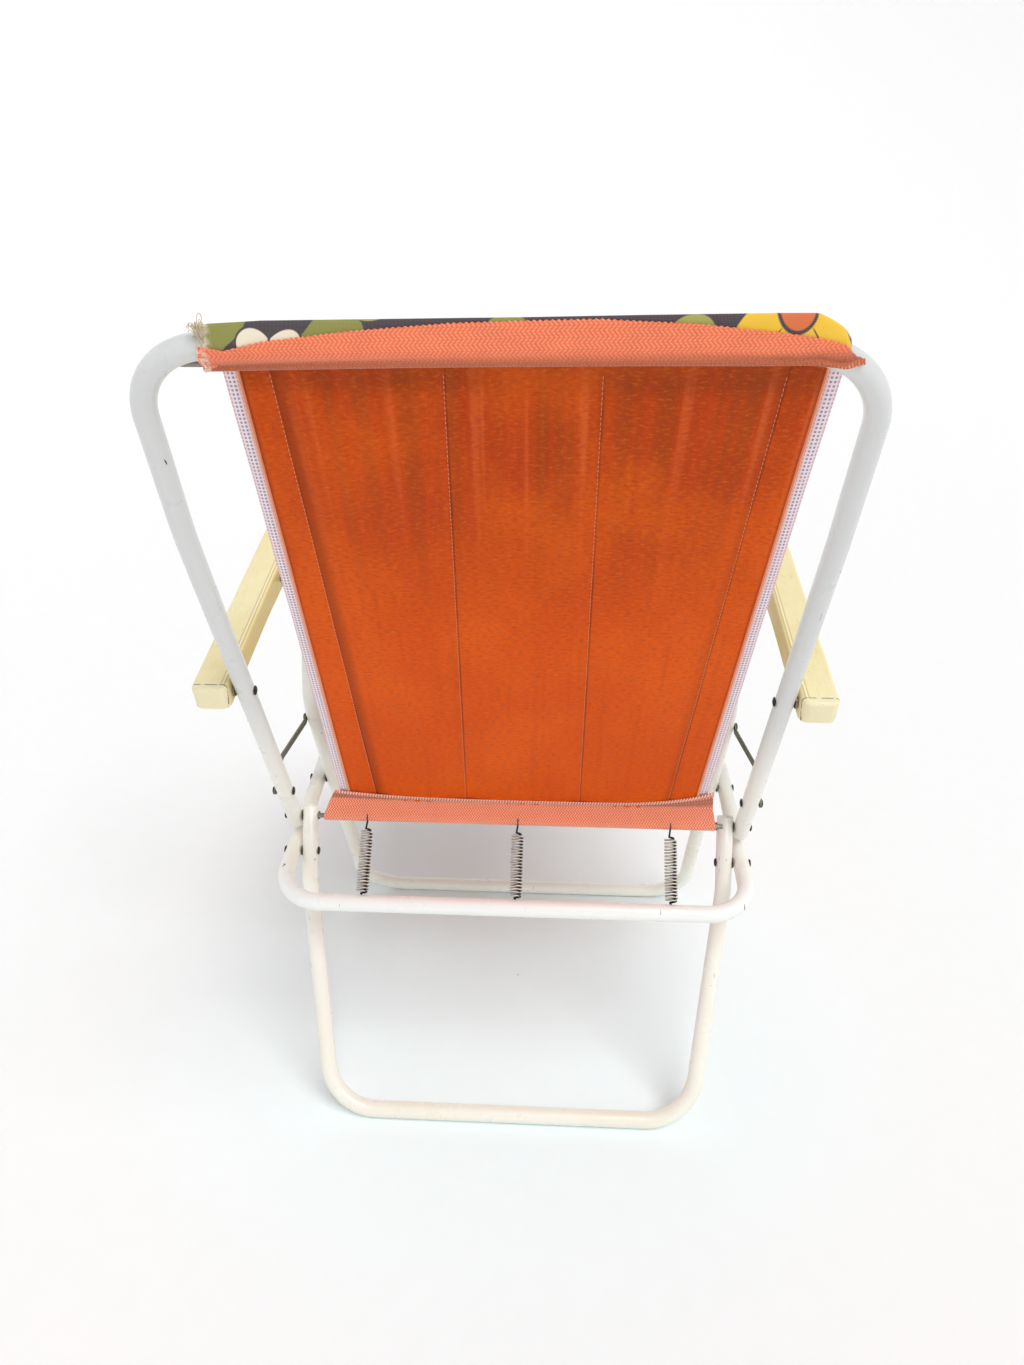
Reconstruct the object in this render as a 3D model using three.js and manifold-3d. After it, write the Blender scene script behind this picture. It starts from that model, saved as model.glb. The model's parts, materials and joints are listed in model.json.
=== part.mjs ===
// Folding lawn chair: bent steel tube frames, a stitched cloth sling on springs, and two plastic armrests.
// Millimetres, +Z up, the sitter faces -Y, and +X is the sitter's left.
import * as THREE from 'three';
import { mergeVertices } from 'three/addons/utils/BufferGeometryUtils.js';
import Module from 'manifold-3d';

const solids = await Module();
solids.setup();

const degree = Math.PI / 180;

// Tube and the gaps between pieces
const tubeDiameter = 19;
const tubeWall = 1.2;
const tubeRadius = tubeDiameter / 2;
const boreRadius = tubeRadius - tubeWall;
const seatGap = 0.3;
const frameGap = 1.2;
const overrun = 6;

// Side view: the front leg and the back lean alike, and the seat rails slope down to the rear
const leanAngle = 22.3 * degree;
const railSlope = 4.94 * degree;
const pivotHeight = 289;
const backSetback = 98;
const footPivotRise = 69;
const linkRearRise = 123;
const linkFrontRise = 135;
const armRearRise = 312;
const armFrontReach = 100;
const armFrontRise = 274.1;
const backTopRise = 694;
const rearPivotReach = 136.9;
const rearBarReach = 218.8;
const frontBarReach = 236;
const frameJointReach = 40;
const rearFootReach = 288.5;

// Front view: half spans of the tube centre lines
const railHalfSpan = 268;
const legHalfSpan = railHalfSpan - tubeDiameter - frameGap;
const rearFootInset = 55;
const rearFootHalfSpan = railHalfSpan - rearFootInset;

// Bends and tube ends
const backCornerRadius = 42;
const seatCornerRadius = 50;
const footCornerRadius = 60;
const legBendRadius = 60;
const legBendRise = 165;
const kneeDrop = 35;
const legTipLength = 10;
const rearTipLength = 12;
const backTipLength = 12;
const drainRadius = 3;
const bendStep = 22.5 * degree;
const leastBendSteps = 2;
const tubeSides = 12;
const domeSteps = 3;
const mergeDistance = 0.001;

// Telescoped seat frame joint
const spigotLength = 28;
const spigotWall = 1.2;
const spigotRoot = 9;
const spigotBite = 0.3;

// Rivets, washers and spacers
const rivetRadius = 2.4;
const rivetHeadRadius = 5;
const rivetHeadHeight = 1.8;
const washerRadius = 6.5;
const spacerRadius = 5.5;
const rivetSides = 12;

// Links: flat bars set over from the back tube to the front leg
const linkWidth = 10;
const linkThickness = 2;
const linkStandOff = 0.8;
const linkBendStart = 45;
const linkBendLength = 33;

// Armrests: moulded channels, open below
const armLength = 370;
const armTail = 20;
const armWidth = 40;
const armHeight = 25;
const armWall = 3;
const armCornerRadius = 9;
const armEdgeRound = 3.5;
const armEdgeSteps = 2;
const armCornerSteps = 3;
const armPinRise = 9;
const armStandOff = 2.6;

// Sling: its width follows the tubes, and it has slipped to the sitter's right, most at the top
const backTopGap = 45.5;
const backBottomGap = 49;
const seatClothGap = 48.5;
const backTopHalfWidth = railHalfSpan - tubeRadius - backTopGap;
const backBottomHalfWidth = railHalfSpan - tubeRadius - backBottomGap;
const seatHalfWidth = railHalfSpan - tubeRadius - seatClothGap;
const backTopSlip = 19;
const backBottomSlip = 7;
const hemSlip = 4;
const backBottomRise = 113;
const clothThickness = 3;
const channelCrown = 1.6;
const stitchShares = [-1, -0.85, -0.29, 0.29, 0.85, 1];
const channelSteps = 5;
const backRows = 8;
const seatRows = 5;
const bindingWidth = 10;
const bindingThickness = 4;
const sleeveSlip = 11;
const sleeveEndGap = 1;
const sleeveHalfWidth = railHalfSpan - backCornerRadius - sleeveEndGap - sleeveSlip;
const sleeveThickness = 1.5;
const topRodRadius = 2.5;
const topRodEndGap = 3.5;
const topRodGap = 1;

// Hem at the foot of the back, its rod and the springs that pull it to the seat frame
const hemRodSetback = 147;
const hemRodRise = 49.5;
const hemRodRadius = 3;
const hemRodEndGap = 0.5;
const hemRodHalfLength = legHalfSpan - tubeRadius - hemRodEndGap - hemSlip;
const hemInset = 8;
const hemHalfWidth = hemRodHalfLength - hemInset;
const hemThickness = 2;
const hemNotchWidth = 9;
const springInset = 59;
const springSpan = hemRodHalfLength - springInset;
const springRadius = 6.5;
const springWire = 2;
const springTurns = 20;
const springTurnSteps = 8;
const springWireSides = 5;
const springTopLead = 7;
const springBottomLead = 6;
const springLeadSteps = 3;

const across = new THREE.Vector3(1, 0, 0);
const upright = new THREE.Vector3(0, 0, 1);
const barUp = new THREE.Vector3(0, Math.sin(leanAngle), Math.cos(leanAngle));
const barBack = new THREE.Vector3(0, Math.cos(leanAngle), -Math.sin(leanAngle));
const railBack = new THREE.Vector3(0, Math.cos(railSlope), -Math.sin(railSlope));

// A point beside the seat pivot, given by its distance behind the front leg and along it
function onBars(x, setback, rise) {
  const point = new THREE.Vector3(x, 0, pivotHeight);
  point.addScaledVector(barBack, setback);
  return point.addScaledVector(barUp, rise);
}

// A point on the seat rail, given by its distance behind the seat pivot
function onRail(x, reach) {
  return new THREE.Vector3(x, 0, pivotHeight).addScaledVector(railBack, reach);
}

const mirrored = (points) => points.map((p) => new THREE.Vector3(-p.x, p.y, p.z)).reverse();

// A centre line of straight runs joined by round bends, sampled only where the tube turns
class BentPath extends THREE.Curve {
  constructor(corners, radii) {
    super();
    this.stations = [];
    const directions = corners.slice(1).map((p, i) => p.clone().sub(corners[i]).normalize());
    this.stations.push({ point: corners[0], tangent: directions[0] });
    radii.forEach((radius, i) => this.bend(corners[i + 1], directions[i], directions[i + 1], radius));
    this.stations.push({ point: corners.at(-1), tangent: directions.at(-1) });
  }

  bend(corner, before, after, radius) {
    const turn = before.angleTo(after);
    const axis = before.clone().cross(after).normalize();
    const start = corner.clone().addScaledVector(before, -radius * Math.tan(turn / 2));
    const inward = axis.clone().cross(before);
    const centre = start.clone().addScaledVector(inward, radius);
    const steps = Math.max(leastBendSteps, Math.ceil(turn / bendStep));
    for (let k = 0; k <= steps; k += 1) {
      const angle = turn * k / steps;
      const arm = inward.clone().multiplyScalar(-radius).applyAxisAngle(axis, angle);
      const tangent = before.clone().applyAxisAngle(axis, angle);
      this.stations.push({ point: centre.clone().add(arm), tangent });
    }
  }

  station(share) {
    return this.stations[Math.round(share * (this.stations.length - 1))];
  }

  getPointAt(share, target = new THREE.Vector3()) {
    return target.copy(this.station(share).point);
  }

  getTangentAt(share, target = new THREE.Vector3()) {
    return target.copy(this.station(share).tangent);
  }

  getSpacedPoints() {
    return this.stations.map((station) => station.point.clone());
  }
}

// Solid modelling helpers
function toSolid(geometry) {
  const bare = geometry.index ? geometry.toNonIndexed() : geometry.clone();
  bare.deleteAttribute('normal');
  bare.deleteAttribute('uv');
  const merged = mergeVertices(bare, mergeDistance);
  const mesh = new solids.Mesh({
    numProp: 3,
    vertProperties: new Float32Array(merged.attributes.position.array),
    triVerts: new Uint32Array(merged.index.array),
  });
  return new solids.Manifold(mesh);
}

function toGeometry(solid) {
  const mesh = solid.getMesh();
  const geometry = new THREE.BufferGeometry();
  geometry.setAttribute('position', new THREE.BufferAttribute(new Float32Array(mesh.vertProperties), 3));
  geometry.setIndex(new THREE.BufferAttribute(new Uint32Array(mesh.triVerts), 1));
  geometry.computeVertexNormals();
  return geometry;
}

function cut(geometry, ...tools) {
  return toGeometry(tools.reduce((left, tool) => left.subtract(toSolid(tool)), toSolid(geometry)));
}

function join(geometry, ...others) {
  return toGeometry(others.reduce((left, other) => left.add(toSolid(other)), toSolid(geometry)));
}

// A round body along X: rings of [distance along X, radius], from the first end to the last
function turned(rings, centre) {
  const profile = rings.map(([distance, radius]) => new THREE.Vector2(radius, distance));
  const geometry = new THREE.LatheGeometry(profile, rivetSides);
  geometry.rotateZ(-Math.PI / 2);
  return geometry.translate(0, centre.y, centre.z);
}

function hole(centre, from, to) {
  const radius = rivetRadius + seatGap;
  return turned([[from, 0], [from, radius], [to, radius], [to, 0]], centre);
}

// A tube wall's pin hole on both sides, at the tube centre line's distance from the middle
function pinHoles(centre, halfSpan) {
  const reach = tubeRadius + overrun;
  return [1, -1].map((side) => hole(centre, side * halfSpan - reach, side * halfSpan + reach));
}

function tube(path, outer, inner) {
  const ring = new THREE.Shape();
  ring.absarc(0, 0, outer, 0, 2 * Math.PI);
  const bore = new THREE.Path();
  bore.absarc(0, 0, inner, 0, 2 * Math.PI);
  ring.holes.push(bore);
  return new THREE.ExtrudeGeometry(ring, {
    steps: path.stations.length - 1,
    curveSegments: tubeSides / 2,
    extrudePath: path,
    bevelEnabled: false,
  });
}

// A cloth slab between two side-view points; its halves bulge between the stitch lines by the crown
function quilt({ from, to, halfWidthAt, middleAt, rows, shares, steps, thickness, crown }) {
  const along = to.clone().sub(from);
  const outward = across.clone().cross(along).normalize();
  const columns = [];
  for (let i = 0; i < shares.length - 1; i += 1) {
    for (let k = 0; k < steps; k += 1) {
      const phase = k / steps;
      columns.push({ share: shares[i] + (shares[i + 1] - shares[i]) * phase, bulge: Math.sin(Math.PI * phase) });
    }
  }
  columns.push({ share: shares[shares.length - 1], bulge: 0 });
  const positions = [];
  for (const face of [1, -1]) {
    for (let row = 0; row <= rows; row += 1) {
      const centre = from.clone().addScaledVector(along, row / rows);
      for (const { share, bulge } of columns) {
        const sideways = middleAt(row / rows) + share * halfWidthAt(row / rows);
        const point = centre.clone().addScaledVector(across, sideways);
        point.addScaledVector(outward, face * (thickness / 2 + crown * bulge));
        positions.push(point.x, point.y, point.z);
      }
    }
  }
  const wide = columns.length;
  const sheet = wide * (rows + 1);
  const triangles = [];
  const quad = (a, b, c, d) => triangles.push(a, b, c, a, c, d);
  for (let row = 0; row < rows; row += 1) {
    for (let i = 0; i < wide - 1; i += 1) {
      const a = row * wide + i;
      quad(a, a + 1, a + 1 + wide, a + wide);
      quad(a + sheet, a + sheet + wide, a + sheet + 1 + wide, a + sheet + 1);
    }
    const low = row * wide;
    const high = low + wide - 1;
    quad(low, low + wide, low + wide + sheet, low + sheet);
    quad(high, high + sheet, high + sheet + wide, high + wide);
  }
  for (let i = 0; i < wide - 1; i += 1) {
    const last = rows * wide + i;
    quad(i, i + sheet, i + sheet + 1, i + 1);
    quad(last, last + 1, last + 1 + sheet, last + sheet);
  }
  const geometry = new THREE.BufferGeometry();
  geometry.setAttribute('position', new THREE.Float32BufferAttribute(positions, 3));
  geometry.setIndex(triangles);
  geometry.computeVertexNormals();
  return geometry;
}

// A binding tape beside the panel's edge, on the side given
function tape(side, { from, to, halfWidthAt, middleAt, rows }) {
  return quilt({
    from,
    to,
    halfWidthAt: () => bindingWidth / 2,
    middleAt: (share) => middleAt(share) + side * (halfWidthAt(share) - bindingWidth / 2),
    rows,
    shares: [-1, 1],
    steps: 1,
    thickness: bindingThickness,
    crown: 0,
  });
}

// A shape drawn in the side view as (distance back, height), carried across the chair
function acrossChair(shape, halfWidth) {
  const geometry = new THREE.ExtrudeGeometry(shape, {
    depth: 2 * halfWidth,
    bevelEnabled: false,
    curveSegments: tubeSides / 2,
  });
  geometry.translate(0, 0, -halfWidth);
  geometry.rotateX(Math.PI / 2);
  geometry.rotateZ(Math.PI / 2);
  return geometry;
}

function circle(radius, centre) {
  const shape = new THREE.Shape();
  shape.absarc(centre.y, centre.z, radius, 0, 2 * Math.PI);
  return shape;
}

// A rounded outline round two circles of unequal size, as a cloth lies round a tube and a rod
function pulley(first, firstRadius, second, secondRadius) {
  const gap = new THREE.Vector2(second.y - first.y, second.z - first.z);
  const heading = gap.angle();
  const tilt = Math.acos((firstRadius - secondRadius) / gap.length());
  const shape = new THREE.Shape();
  shape.absarc(second.y, second.z, secondRadius, heading - tilt, heading + tilt);
  shape.absarc(first.y, first.z, firstRadius, heading + tilt, heading - tilt + 2 * Math.PI);
  return shape;
}

// Materials
const finish = (color, roughness, metalness) => new THREE.MeshStandardMaterial({ color, roughness, metalness });
const paint = finish(0xe9e7e2, 0.45, 0.1);
const plastic = finish(0xe6dcae, 0.5, 0);
const steel = finish(0x8f8d88, 0.4, 0.9);
const darkSteel = finish(0x3b3835, 0.5, 0.8);
const orangeCloth = finish(0xd1481c, 0.8, 0);
const salmonTape = finish(0xe58a6c, 0.9, 0);
const paleTape = finish(0xd8cbd6, 0.9, 0);

const chair = new THREE.Group();
function add(name, geometry, material) {
  const mesh = new THREE.Mesh(geometry, material);
  mesh.name = name;
  chair.add(mesh);
  return mesh;
}

const sides = [['left', 1], ['right', -1]];
const seatPivot = onBars(0, 0, 0);
const rearPivot = onRail(0, rearPivotReach);
const footPivot = onBars(0, backSetback, footPivotRise);
const linkRear = onBars(0, backSetback, linkRearRise);
const linkFront = onBars(0, 0, linkFrontRise);
const armRear = onBars(0, backSetback, armRearRise);
const armFront = onBars(0, -armFrontReach, armFrontRise);

// Places along X where the layers of tube, link and armrest begin
const legInside = legHalfSpan - tubeRadius;
const legOutside = legHalfSpan + tubeRadius;
const railInside = railHalfSpan - tubeRadius;
const railOutside = railHalfSpan + tubeRadius;
const linkRearPlane = railOutside + linkStandOff;
const linkFrontPlane = legOutside + linkStandOff;
const armInside = railOutside + armStandOff;

// Back frame: one hoop whose two feet are closed in a dome with a small hole
function backFrame() {
  const foot = onBars(railHalfSpan, backSetback, footPivotRise - backTipLength);
  const top = onBars(railHalfSpan, backSetback, backTopRise);
  const half = [foot, top];
  const path = new BentPath([...half, ...mirrored(half)], [backCornerRadius, backCornerRadius]);
  const hoop = tube(path, tubeRadius, boreRadius);
  const domes = sides.map(([, side]) => {
    const profile = [];
    const steps = domeSteps;
    const mouth = Math.asin(drainRadius / tubeRadius);
    for (let k = 0; k <= steps; k += 1) {
      const angle = mouth + (Math.PI / 2 - mouth) * k / steps;
      profile.push(new THREE.Vector2(tubeRadius * Math.sin(angle), -tubeRadius * Math.cos(angle)));
    }
    profile.push(new THREE.Vector2(tubeRadius, tubeWall));
    profile.push(new THREE.Vector2(boreRadius, tubeWall));
    for (let k = steps; k >= 0; k -= 1) {
      const angle = mouth + (Math.PI / 2 - mouth) * k / steps;
      profile.push(new THREE.Vector2(boreRadius * Math.sin(angle), -boreRadius * Math.cos(angle)));
    }
    profile.push(profile[0].clone());
    const dome = new THREE.LatheGeometry(profile, tubeSides);
    dome.rotateX(Math.PI / 2);
    dome.applyQuaternion(new THREE.Quaternion().setFromUnitVectors(upright, barUp));
    return dome.translate(side * railHalfSpan, foot.y, foot.z);
  });
  const whole = join(hoop, ...domes);
  const holes = [footPivot, linkRear, armRear].flatMap((pin) => pinHoles(pin, railHalfSpan));
  return cut(whole, ...holes);
}

function seatRearLoop() {
  const half = [onRail(railHalfSpan, -frameJointReach), onRail(railHalfSpan, rearBarReach)];
  const path = new BentPath([...half, ...mirrored(half)], [seatCornerRadius, seatCornerRadius]);
  const holes = [seatPivot, rearPivot].flatMap((pin) => pinHoles(pin, railHalfSpan));
  return cut(tube(path, tubeRadius, boreRadius), ...holes);
}

// The front loop's reduced ends slide into the rear loop
function seatFrontLoop() {
  const start = frameJointReach + seatGap;
  const half = [onRail(railHalfSpan, -start), onRail(railHalfSpan, -frontBarReach)];
  const path = new BentPath([...half, ...mirrored(half)], [seatCornerRadius, seatCornerRadius]);
  const spigotRadius = boreRadius - seatGap;
  const throat = spigotRadius - spigotWall;
  const rings = [
    [spigotLength, throat],
    [spigotLength, spigotRadius],
    [0, spigotRadius],
    [0, boreRadius + spigotBite],
    [-spigotRoot, boreRadius + spigotBite],
    [-spigotRoot, throat],
    [spigotLength, throat],
  ];
  const profile = rings.map(([distance, radius]) => new THREE.Vector2(radius, distance)).reverse();
  const turn = new THREE.Quaternion().setFromUnitVectors(new THREE.Vector3(0, 1, 0), railBack);
  const spigots = [1, -1].map((side) => {
    const spigot = new THREE.LatheGeometry(profile, tubeSides).applyQuaternion(turn);
    const end = onRail(side * railHalfSpan, -start);
    return spigot.translate(end.x, end.y, end.z);
  });
  return join(tube(path, tubeRadius, boreRadius), ...spigots);
}

function frontLeg() {
  const knee = onBars(legHalfSpan, 0, legBendRise);
  const pin = onBars(legHalfSpan, -armFrontReach, armFrontRise);
  const tip = pin.clone().addScaledVector(pin.clone().sub(knee).normalize(), legTipLength);
  const foot = onBars(legHalfSpan, 0, -(pivotHeight - tubeRadius) / Math.cos(leanAngle));
  const half = [tip, knee, foot];
  const radii = [legBendRadius, footCornerRadius, footCornerRadius, legBendRadius];
  const path = new BentPath([...half, ...mirrored(half)], radii);
  const holes = [seatPivot, linkFront, armFront].flatMap((at) => pinHoles(at, legHalfSpan));
  return cut(tube(path, tubeRadius, boreRadius), ...holes);
}

function rearLeg() {
  const down = rearPivot.clone().sub(footPivot).normalize();
  const tip = footPivot.clone().addScaledVector(down, -rearTipLength).setX(legHalfSpan);
  const knee = rearPivot.clone().addScaledVector(down, kneeDrop).setX(legHalfSpan);
  const foot = new THREE.Vector3(rearFootHalfSpan, rearFootReach, tubeRadius);
  const half = [tip, knee, foot];
  const radii = [legBendRadius, footCornerRadius, footCornerRadius, legBendRadius];
  const path = new BentPath([...half, ...mirrored(half)], radii);
  const holes = [footPivot, rearPivot].flatMap((at) => pinHoles(at, legHalfSpan));
  return cut(tube(path, tubeRadius, boreRadius), ...holes);
}

add('back_frame', backFrame(), paint);
add('seat_rear_loop', seatRearLoop(), paint);
add('seat_front_loop', seatFrontLoop(), paint);
add('front_leg', frontLeg(), paint);
add('rear_leg', rearLeg(), paint);

// Pins: a shank with a domed head at one or both ends
const domeShare = 0.6;
function rivet(from, to, centre, headAtStart, headAtEnd) {
  const head = (place, outward) => [
    [place + outward * rivetHeadHeight, 0],
    [place + outward * rivetHeadHeight, rivetHeadRadius * domeShare],
    [place, rivetHeadRadius],
    [place, rivetRadius],
  ];
  const plain = (place) => [[place, 0], [place, rivetRadius]];
  const start = headAtStart ? head(from, -1) : plain(from);
  const end = headAtEnd ? head(to, 1) : plain(to);
  return turned([...start, ...end.reverse()], centre);
}

function ring(from, to, radius, centre) {
  const inner = rivetRadius + seatGap;
  return turned([[from, inner], [from, radius], [to, radius], [to, inner], [from, inner]], centre);
}

// The right-hand piece is the left-hand one seen in a mirror
function mirror(geometry) {
  const flipped = geometry.index ? geometry.toNonIndexed() : geometry.clone();
  const position = flipped.attributes.position;
  for (let i = 0; i < position.count; i += 3) {
    const a = new THREE.Vector3().fromBufferAttribute(position, i);
    const b = new THREE.Vector3().fromBufferAttribute(position, i + 1);
    const c = new THREE.Vector3().fromBufferAttribute(position, i + 2);
    position.setXYZ(i, -a.x, a.y, a.z);
    position.setXYZ(i + 1, -c.x, c.y, c.z);
    position.setXYZ(i + 2, -b.x, b.y, b.z);
  }
  flipped.deleteAttribute('normal');
  flipped.deleteAttribute('uv');
  flipped.computeVertexNormals();
  return flipped;
}

function addPair(name, leftGeometry, material) {
  for (const [word, side] of sides) {
    add(`${name}_${word}`, side > 0 ? leftGeometry : mirror(leftGeometry), material);
  }
}

const throughFrames = [legInside - seatGap, railOutside + seatGap];
const betweenFrames = [legOutside + seatGap, railInside - seatGap];
const pinnedFrames = [['front_leg', seatPivot], ['rear_leg', rearPivot], ['back_foot', footPivot]];
for (const [name, pin] of pinnedFrames) {
  addPair(`${name}_rivet`, rivet(...throughFrames, pin, true, true), darkSteel);
  addPair(`${name}_washer`, ring(...betweenFrames, washerRadius, pin), steel);
}

// Link bars, drawn from the rear pin forward, with the step from one plane to the other
function link() {
  const length = linkRear.distanceTo(linkFront);
  const drop = linkRearPlane - linkFrontPlane;
  const end = linkWidth / 2;
  const line = [[-end, 0], [linkBendStart, 0], [linkBendStart + linkBendLength, -drop], [length + end, -drop]];
  const near = line.map(([s, x]) => new THREE.Vector2(s, x));
  const far = line.map(([s, x]) => new THREE.Vector2(s, x + linkThickness)).reverse();
  const bar = new THREE.ExtrudeGeometry(new THREE.Shape([...near, ...far]), { depth: linkWidth, bevelEnabled: false });
  bar.translate(0, 0, -linkWidth / 2);
  const outline = new THREE.Shape();
  outline.absarc(0, 0, end, Math.PI / 2, 3 * Math.PI / 2);
  outline.absarc(length, 0, end, -Math.PI / 2, Math.PI / 2);
  const depth = drop + linkThickness + 2 * overrun;
  const blank = new THREE.ExtrudeGeometry(outline, { depth, bevelEnabled: false, curveSegments: rivetSides / 2 });
  blank.translate(0, 0, -drop - overrun);
  blank.rotateX(-Math.PI / 2);
  const bent = toGeometry(toSolid(bar).intersect(toSolid(blank)));
  const forward = linkFront.clone().sub(linkRear).normalize();
  const side = forward.clone().cross(across);
  bent.applyMatrix4(new THREE.Matrix4().makeBasis(forward, across, side));
  bent.translate(linkRearPlane, linkRear.y, linkRear.z);
  const rearHole = hole(linkRear, linkRearPlane - overrun, linkRearPlane + overrun);
  const frontHole = hole(linkFront, linkFrontPlane - overrun, linkFrontPlane + overrun);
  return cut(bent, rearHole, frontHole);
}
addPair('link', link(), steel);
const linkFrontRivet = rivet(legInside - seatGap, linkFrontPlane + linkThickness + seatGap, linkFront, true, true);
addPair('link_front_rivet', linkFrontRivet, darkSteel);

// The rear link rivet is parted between the tube and the link, where the folding linkage is opened
const rivetMeet = (railOutside + linkRearPlane) / 2;
const tubeHalf = rivet(railInside - seatGap, rivetMeet - seatGap / 2, linkRear, true, false);
const linkHalf = rivet(rivetMeet + seatGap / 2, linkRearPlane + linkThickness + seatGap, linkRear, false, true);
addPair('link_rear_rivet', tubeHalf, darkSteel);
addPair('link_rear_stud', linkHalf, darkSteel);

// Armrest in its own frame: origin at the rear pin, +Y back along the pin line, +Z up
const pinLine = armFront.distanceTo(armRear);
function armOutline(inset) {
  const shape = new THREE.Shape();
  const low = armInside + inset;
  const high = armInside + armWidth - inset;
  const rear = armTail - inset;
  const front = armTail - armLength + inset;
  const radius = armCornerRadius - inset;
  shape.absarc(high - radius, rear - radius, radius, 0, Math.PI / 2);
  shape.absarc(low + radius, rear - radius, radius, Math.PI / 2, Math.PI);
  shape.absarc(low + radius, front + radius, radius, Math.PI, 3 * Math.PI / 2);
  shape.absarc(high - radius, front + radius, radius, 3 * Math.PI / 2, 2 * Math.PI);
  return shape;
}

function armrest() {
  const body = new THREE.ExtrudeGeometry(armOutline(armEdgeRound), {
    depth: armHeight - armEdgeRound,
    bevelSize: armEdgeRound,
    bevelThickness: armEdgeRound,
    bevelSegments: armEdgeSteps,
    curveSegments: armCornerSteps,
  });
  const depth = armHeight - armWall + overrun;
  const pocket = new THREE.ExtrudeGeometry(armOutline(armWall), { depth, bevelEnabled: false, curveSegments: armCornerSteps });
  pocket.translate(0, 0, -overrun);
  const below = new THREE.BoxGeometry(armWidth + 2 * overrun, armLength + 2 * overrun, 2 * overrun);
  below.translate(armInside + armWidth / 2, armTail - armLength / 2, -overrun);
  const shell = cut(body, pocket, below);
  shell.translate(0, 0, -armPinRise);
  const pins = [0, -pinLine].map((y) => new THREE.Vector3(0, y, 0));
  return cut(shell, ...pins.map((pin) => hole(pin, armInside - overrun, armInside + armWall + overrun)));
}

const armSlope = Math.atan2(armFront.z - armRear.z, armRear.y - armFront.y);
const armShell = armrest().rotateX(-armSlope).translate(0, armRear.y, armRear.z);
addPair('armrest', armShell, plastic);
const armSkirt = armInside + armWall + seatGap;
addPair('armrest_rear_rivet', rivet(railInside - seatGap, armSkirt, armRear, true, true), darkSteel);
addPair('armrest_rear_washer', ring(railOutside + seatGap, armInside - seatGap, washerRadius, armRear), steel);

// The front pin is parted at the armrest, the other place where the linkage is opened
const pinEnd = armInside - 2 * seatGap;
addPair('armrest_front_pin', rivet(legInside - seatGap, pinEnd, armFront, true, false), darkSteel);
addPair('armrest_front_spacer', ring(legOutside + seatGap, pinEnd - seatGap, spacerRadius, armFront), steel);
addPair('armrest_front_stud', rivet(pinEnd + seatGap, armSkirt, armFront, false, true), darkSteel);

// Back sling: sleeve over the top bar and its rod, quilted panel, and a binding tape down each side
const topBar = onBars(0, backSetback, backTopRise);
const topRodRise = backTopRise - tubeRadius - topRodGap - topRodRadius;
const topRod = onBars(0, backSetback, topRodRise);
const innerCorner = backCornerRadius - tubeRadius;
const rodTopDrop = backCornerRadius - tubeRadius - topRodGap;
const cornerSpan = railHalfSpan - backCornerRadius + Math.sqrt(innerCorner ** 2 - rodTopDrop ** 2);
const topRodHalfLength = cornerSpan - topRodEndGap;
const sleeveOutline = (growth) => pulley(topBar, tubeRadius + growth, topRod, topRodRadius + growth);
const topSleeve = sleeveOutline(seatGap + sleeveThickness);
topSleeve.holes.push(sleeveOutline(seatGap));
add('top_sleeve', acrossChair(topSleeve, sleeveHalfWidth).translate(-sleeveSlip, 0, 0), salmonTape);
add('top_rod', acrossChair(circle(topRodRadius, topRod), topRodHalfLength), steel);

const backTopEnd = topRodRise - topRodRadius - sleeveThickness - 2 * seatGap;
const backRun = {
  from: onBars(0, backSetback, backBottomRise),
  to: onBars(0, backSetback, backTopEnd),
  halfWidthAt: (share) => backBottomHalfWidth + (backTopHalfWidth - backBottomHalfWidth) * share,
  middleAt: (share) => -backBottomSlip - (backTopSlip - backBottomSlip) * share,
  rows: backRows,
};
const insideTape = (widthAt) => (share) => widthAt(share) - bindingWidth - seatGap;
const panel = (run) => quilt({
  ...run,
  halfWidthAt: insideTape(run.halfWidthAt),
  shares: stitchShares,
  steps: channelSteps,
  thickness: clothThickness,
  crown: channelCrown,
});
add('back_panel', panel(backRun), orangeCloth);
for (const [word, side] of sides) add(`back_binding_${word}`, tape(side, backRun), paleTape);

// Hem: a doubled strip from the foot of the back round the hem rod, notched where the springs hook on
const hemRod = seatPivot.clone().add(new THREE.Vector3(0, hemRodSetback, hemRodRise));
add('hem_rod', acrossChair(circle(hemRodRadius, hemRod), hemRodHalfLength).translate(-hemSlip, 0, 0), steel);
const rearBar = onRail(0, rearBarReach);
const springAxis = rearBar.clone().sub(hemRod).normalize();
const springPlaces = [['left', springSpan - hemSlip], ['middle', -hemSlip], ['right', -springSpan - hemSlip]];

function hemStrip() {
  const inner = hemRodRadius + seatGap;
  const outer = inner + hemThickness;
  const eye = circle(outer, hemRod);
  eye.holes.push(circle(inner, hemRod));
  const crease = onBars(0, backSetback, backBottomRise - clothThickness);
  const up = crease.clone().sub(hemRod).normalize();
  const root = hemRod.clone().addScaledVector(up, inner + hemThickness / 2);
  const flap = quilt({
    from: root,
    to: crease,
    halfWidthAt: () => hemHalfWidth,
    middleAt: () => -hemSlip,
    rows: 1,
    shares: [-1, 1],
    steps: 1,
    thickness: hemThickness,
    crown: 0,
  });
  const notches = springPlaces.map(([, x]) => {
    const notch = new THREE.BoxGeometry(hemNotchWidth, 2 * outer, 2 * outer);
    notch.applyQuaternion(new THREE.Quaternion().setFromUnitVectors(upright, springAxis));
    const place = hemRod.clone().addScaledVector(springAxis, outer);
    return notch.translate(x, place.y, place.z);
  });
  return cut(join(acrossChair(eye, hemHalfWidth).translate(-hemSlip, 0, 0), flap), ...notches);
}
add('hem_strip', hemStrip(), salmonTape);

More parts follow.
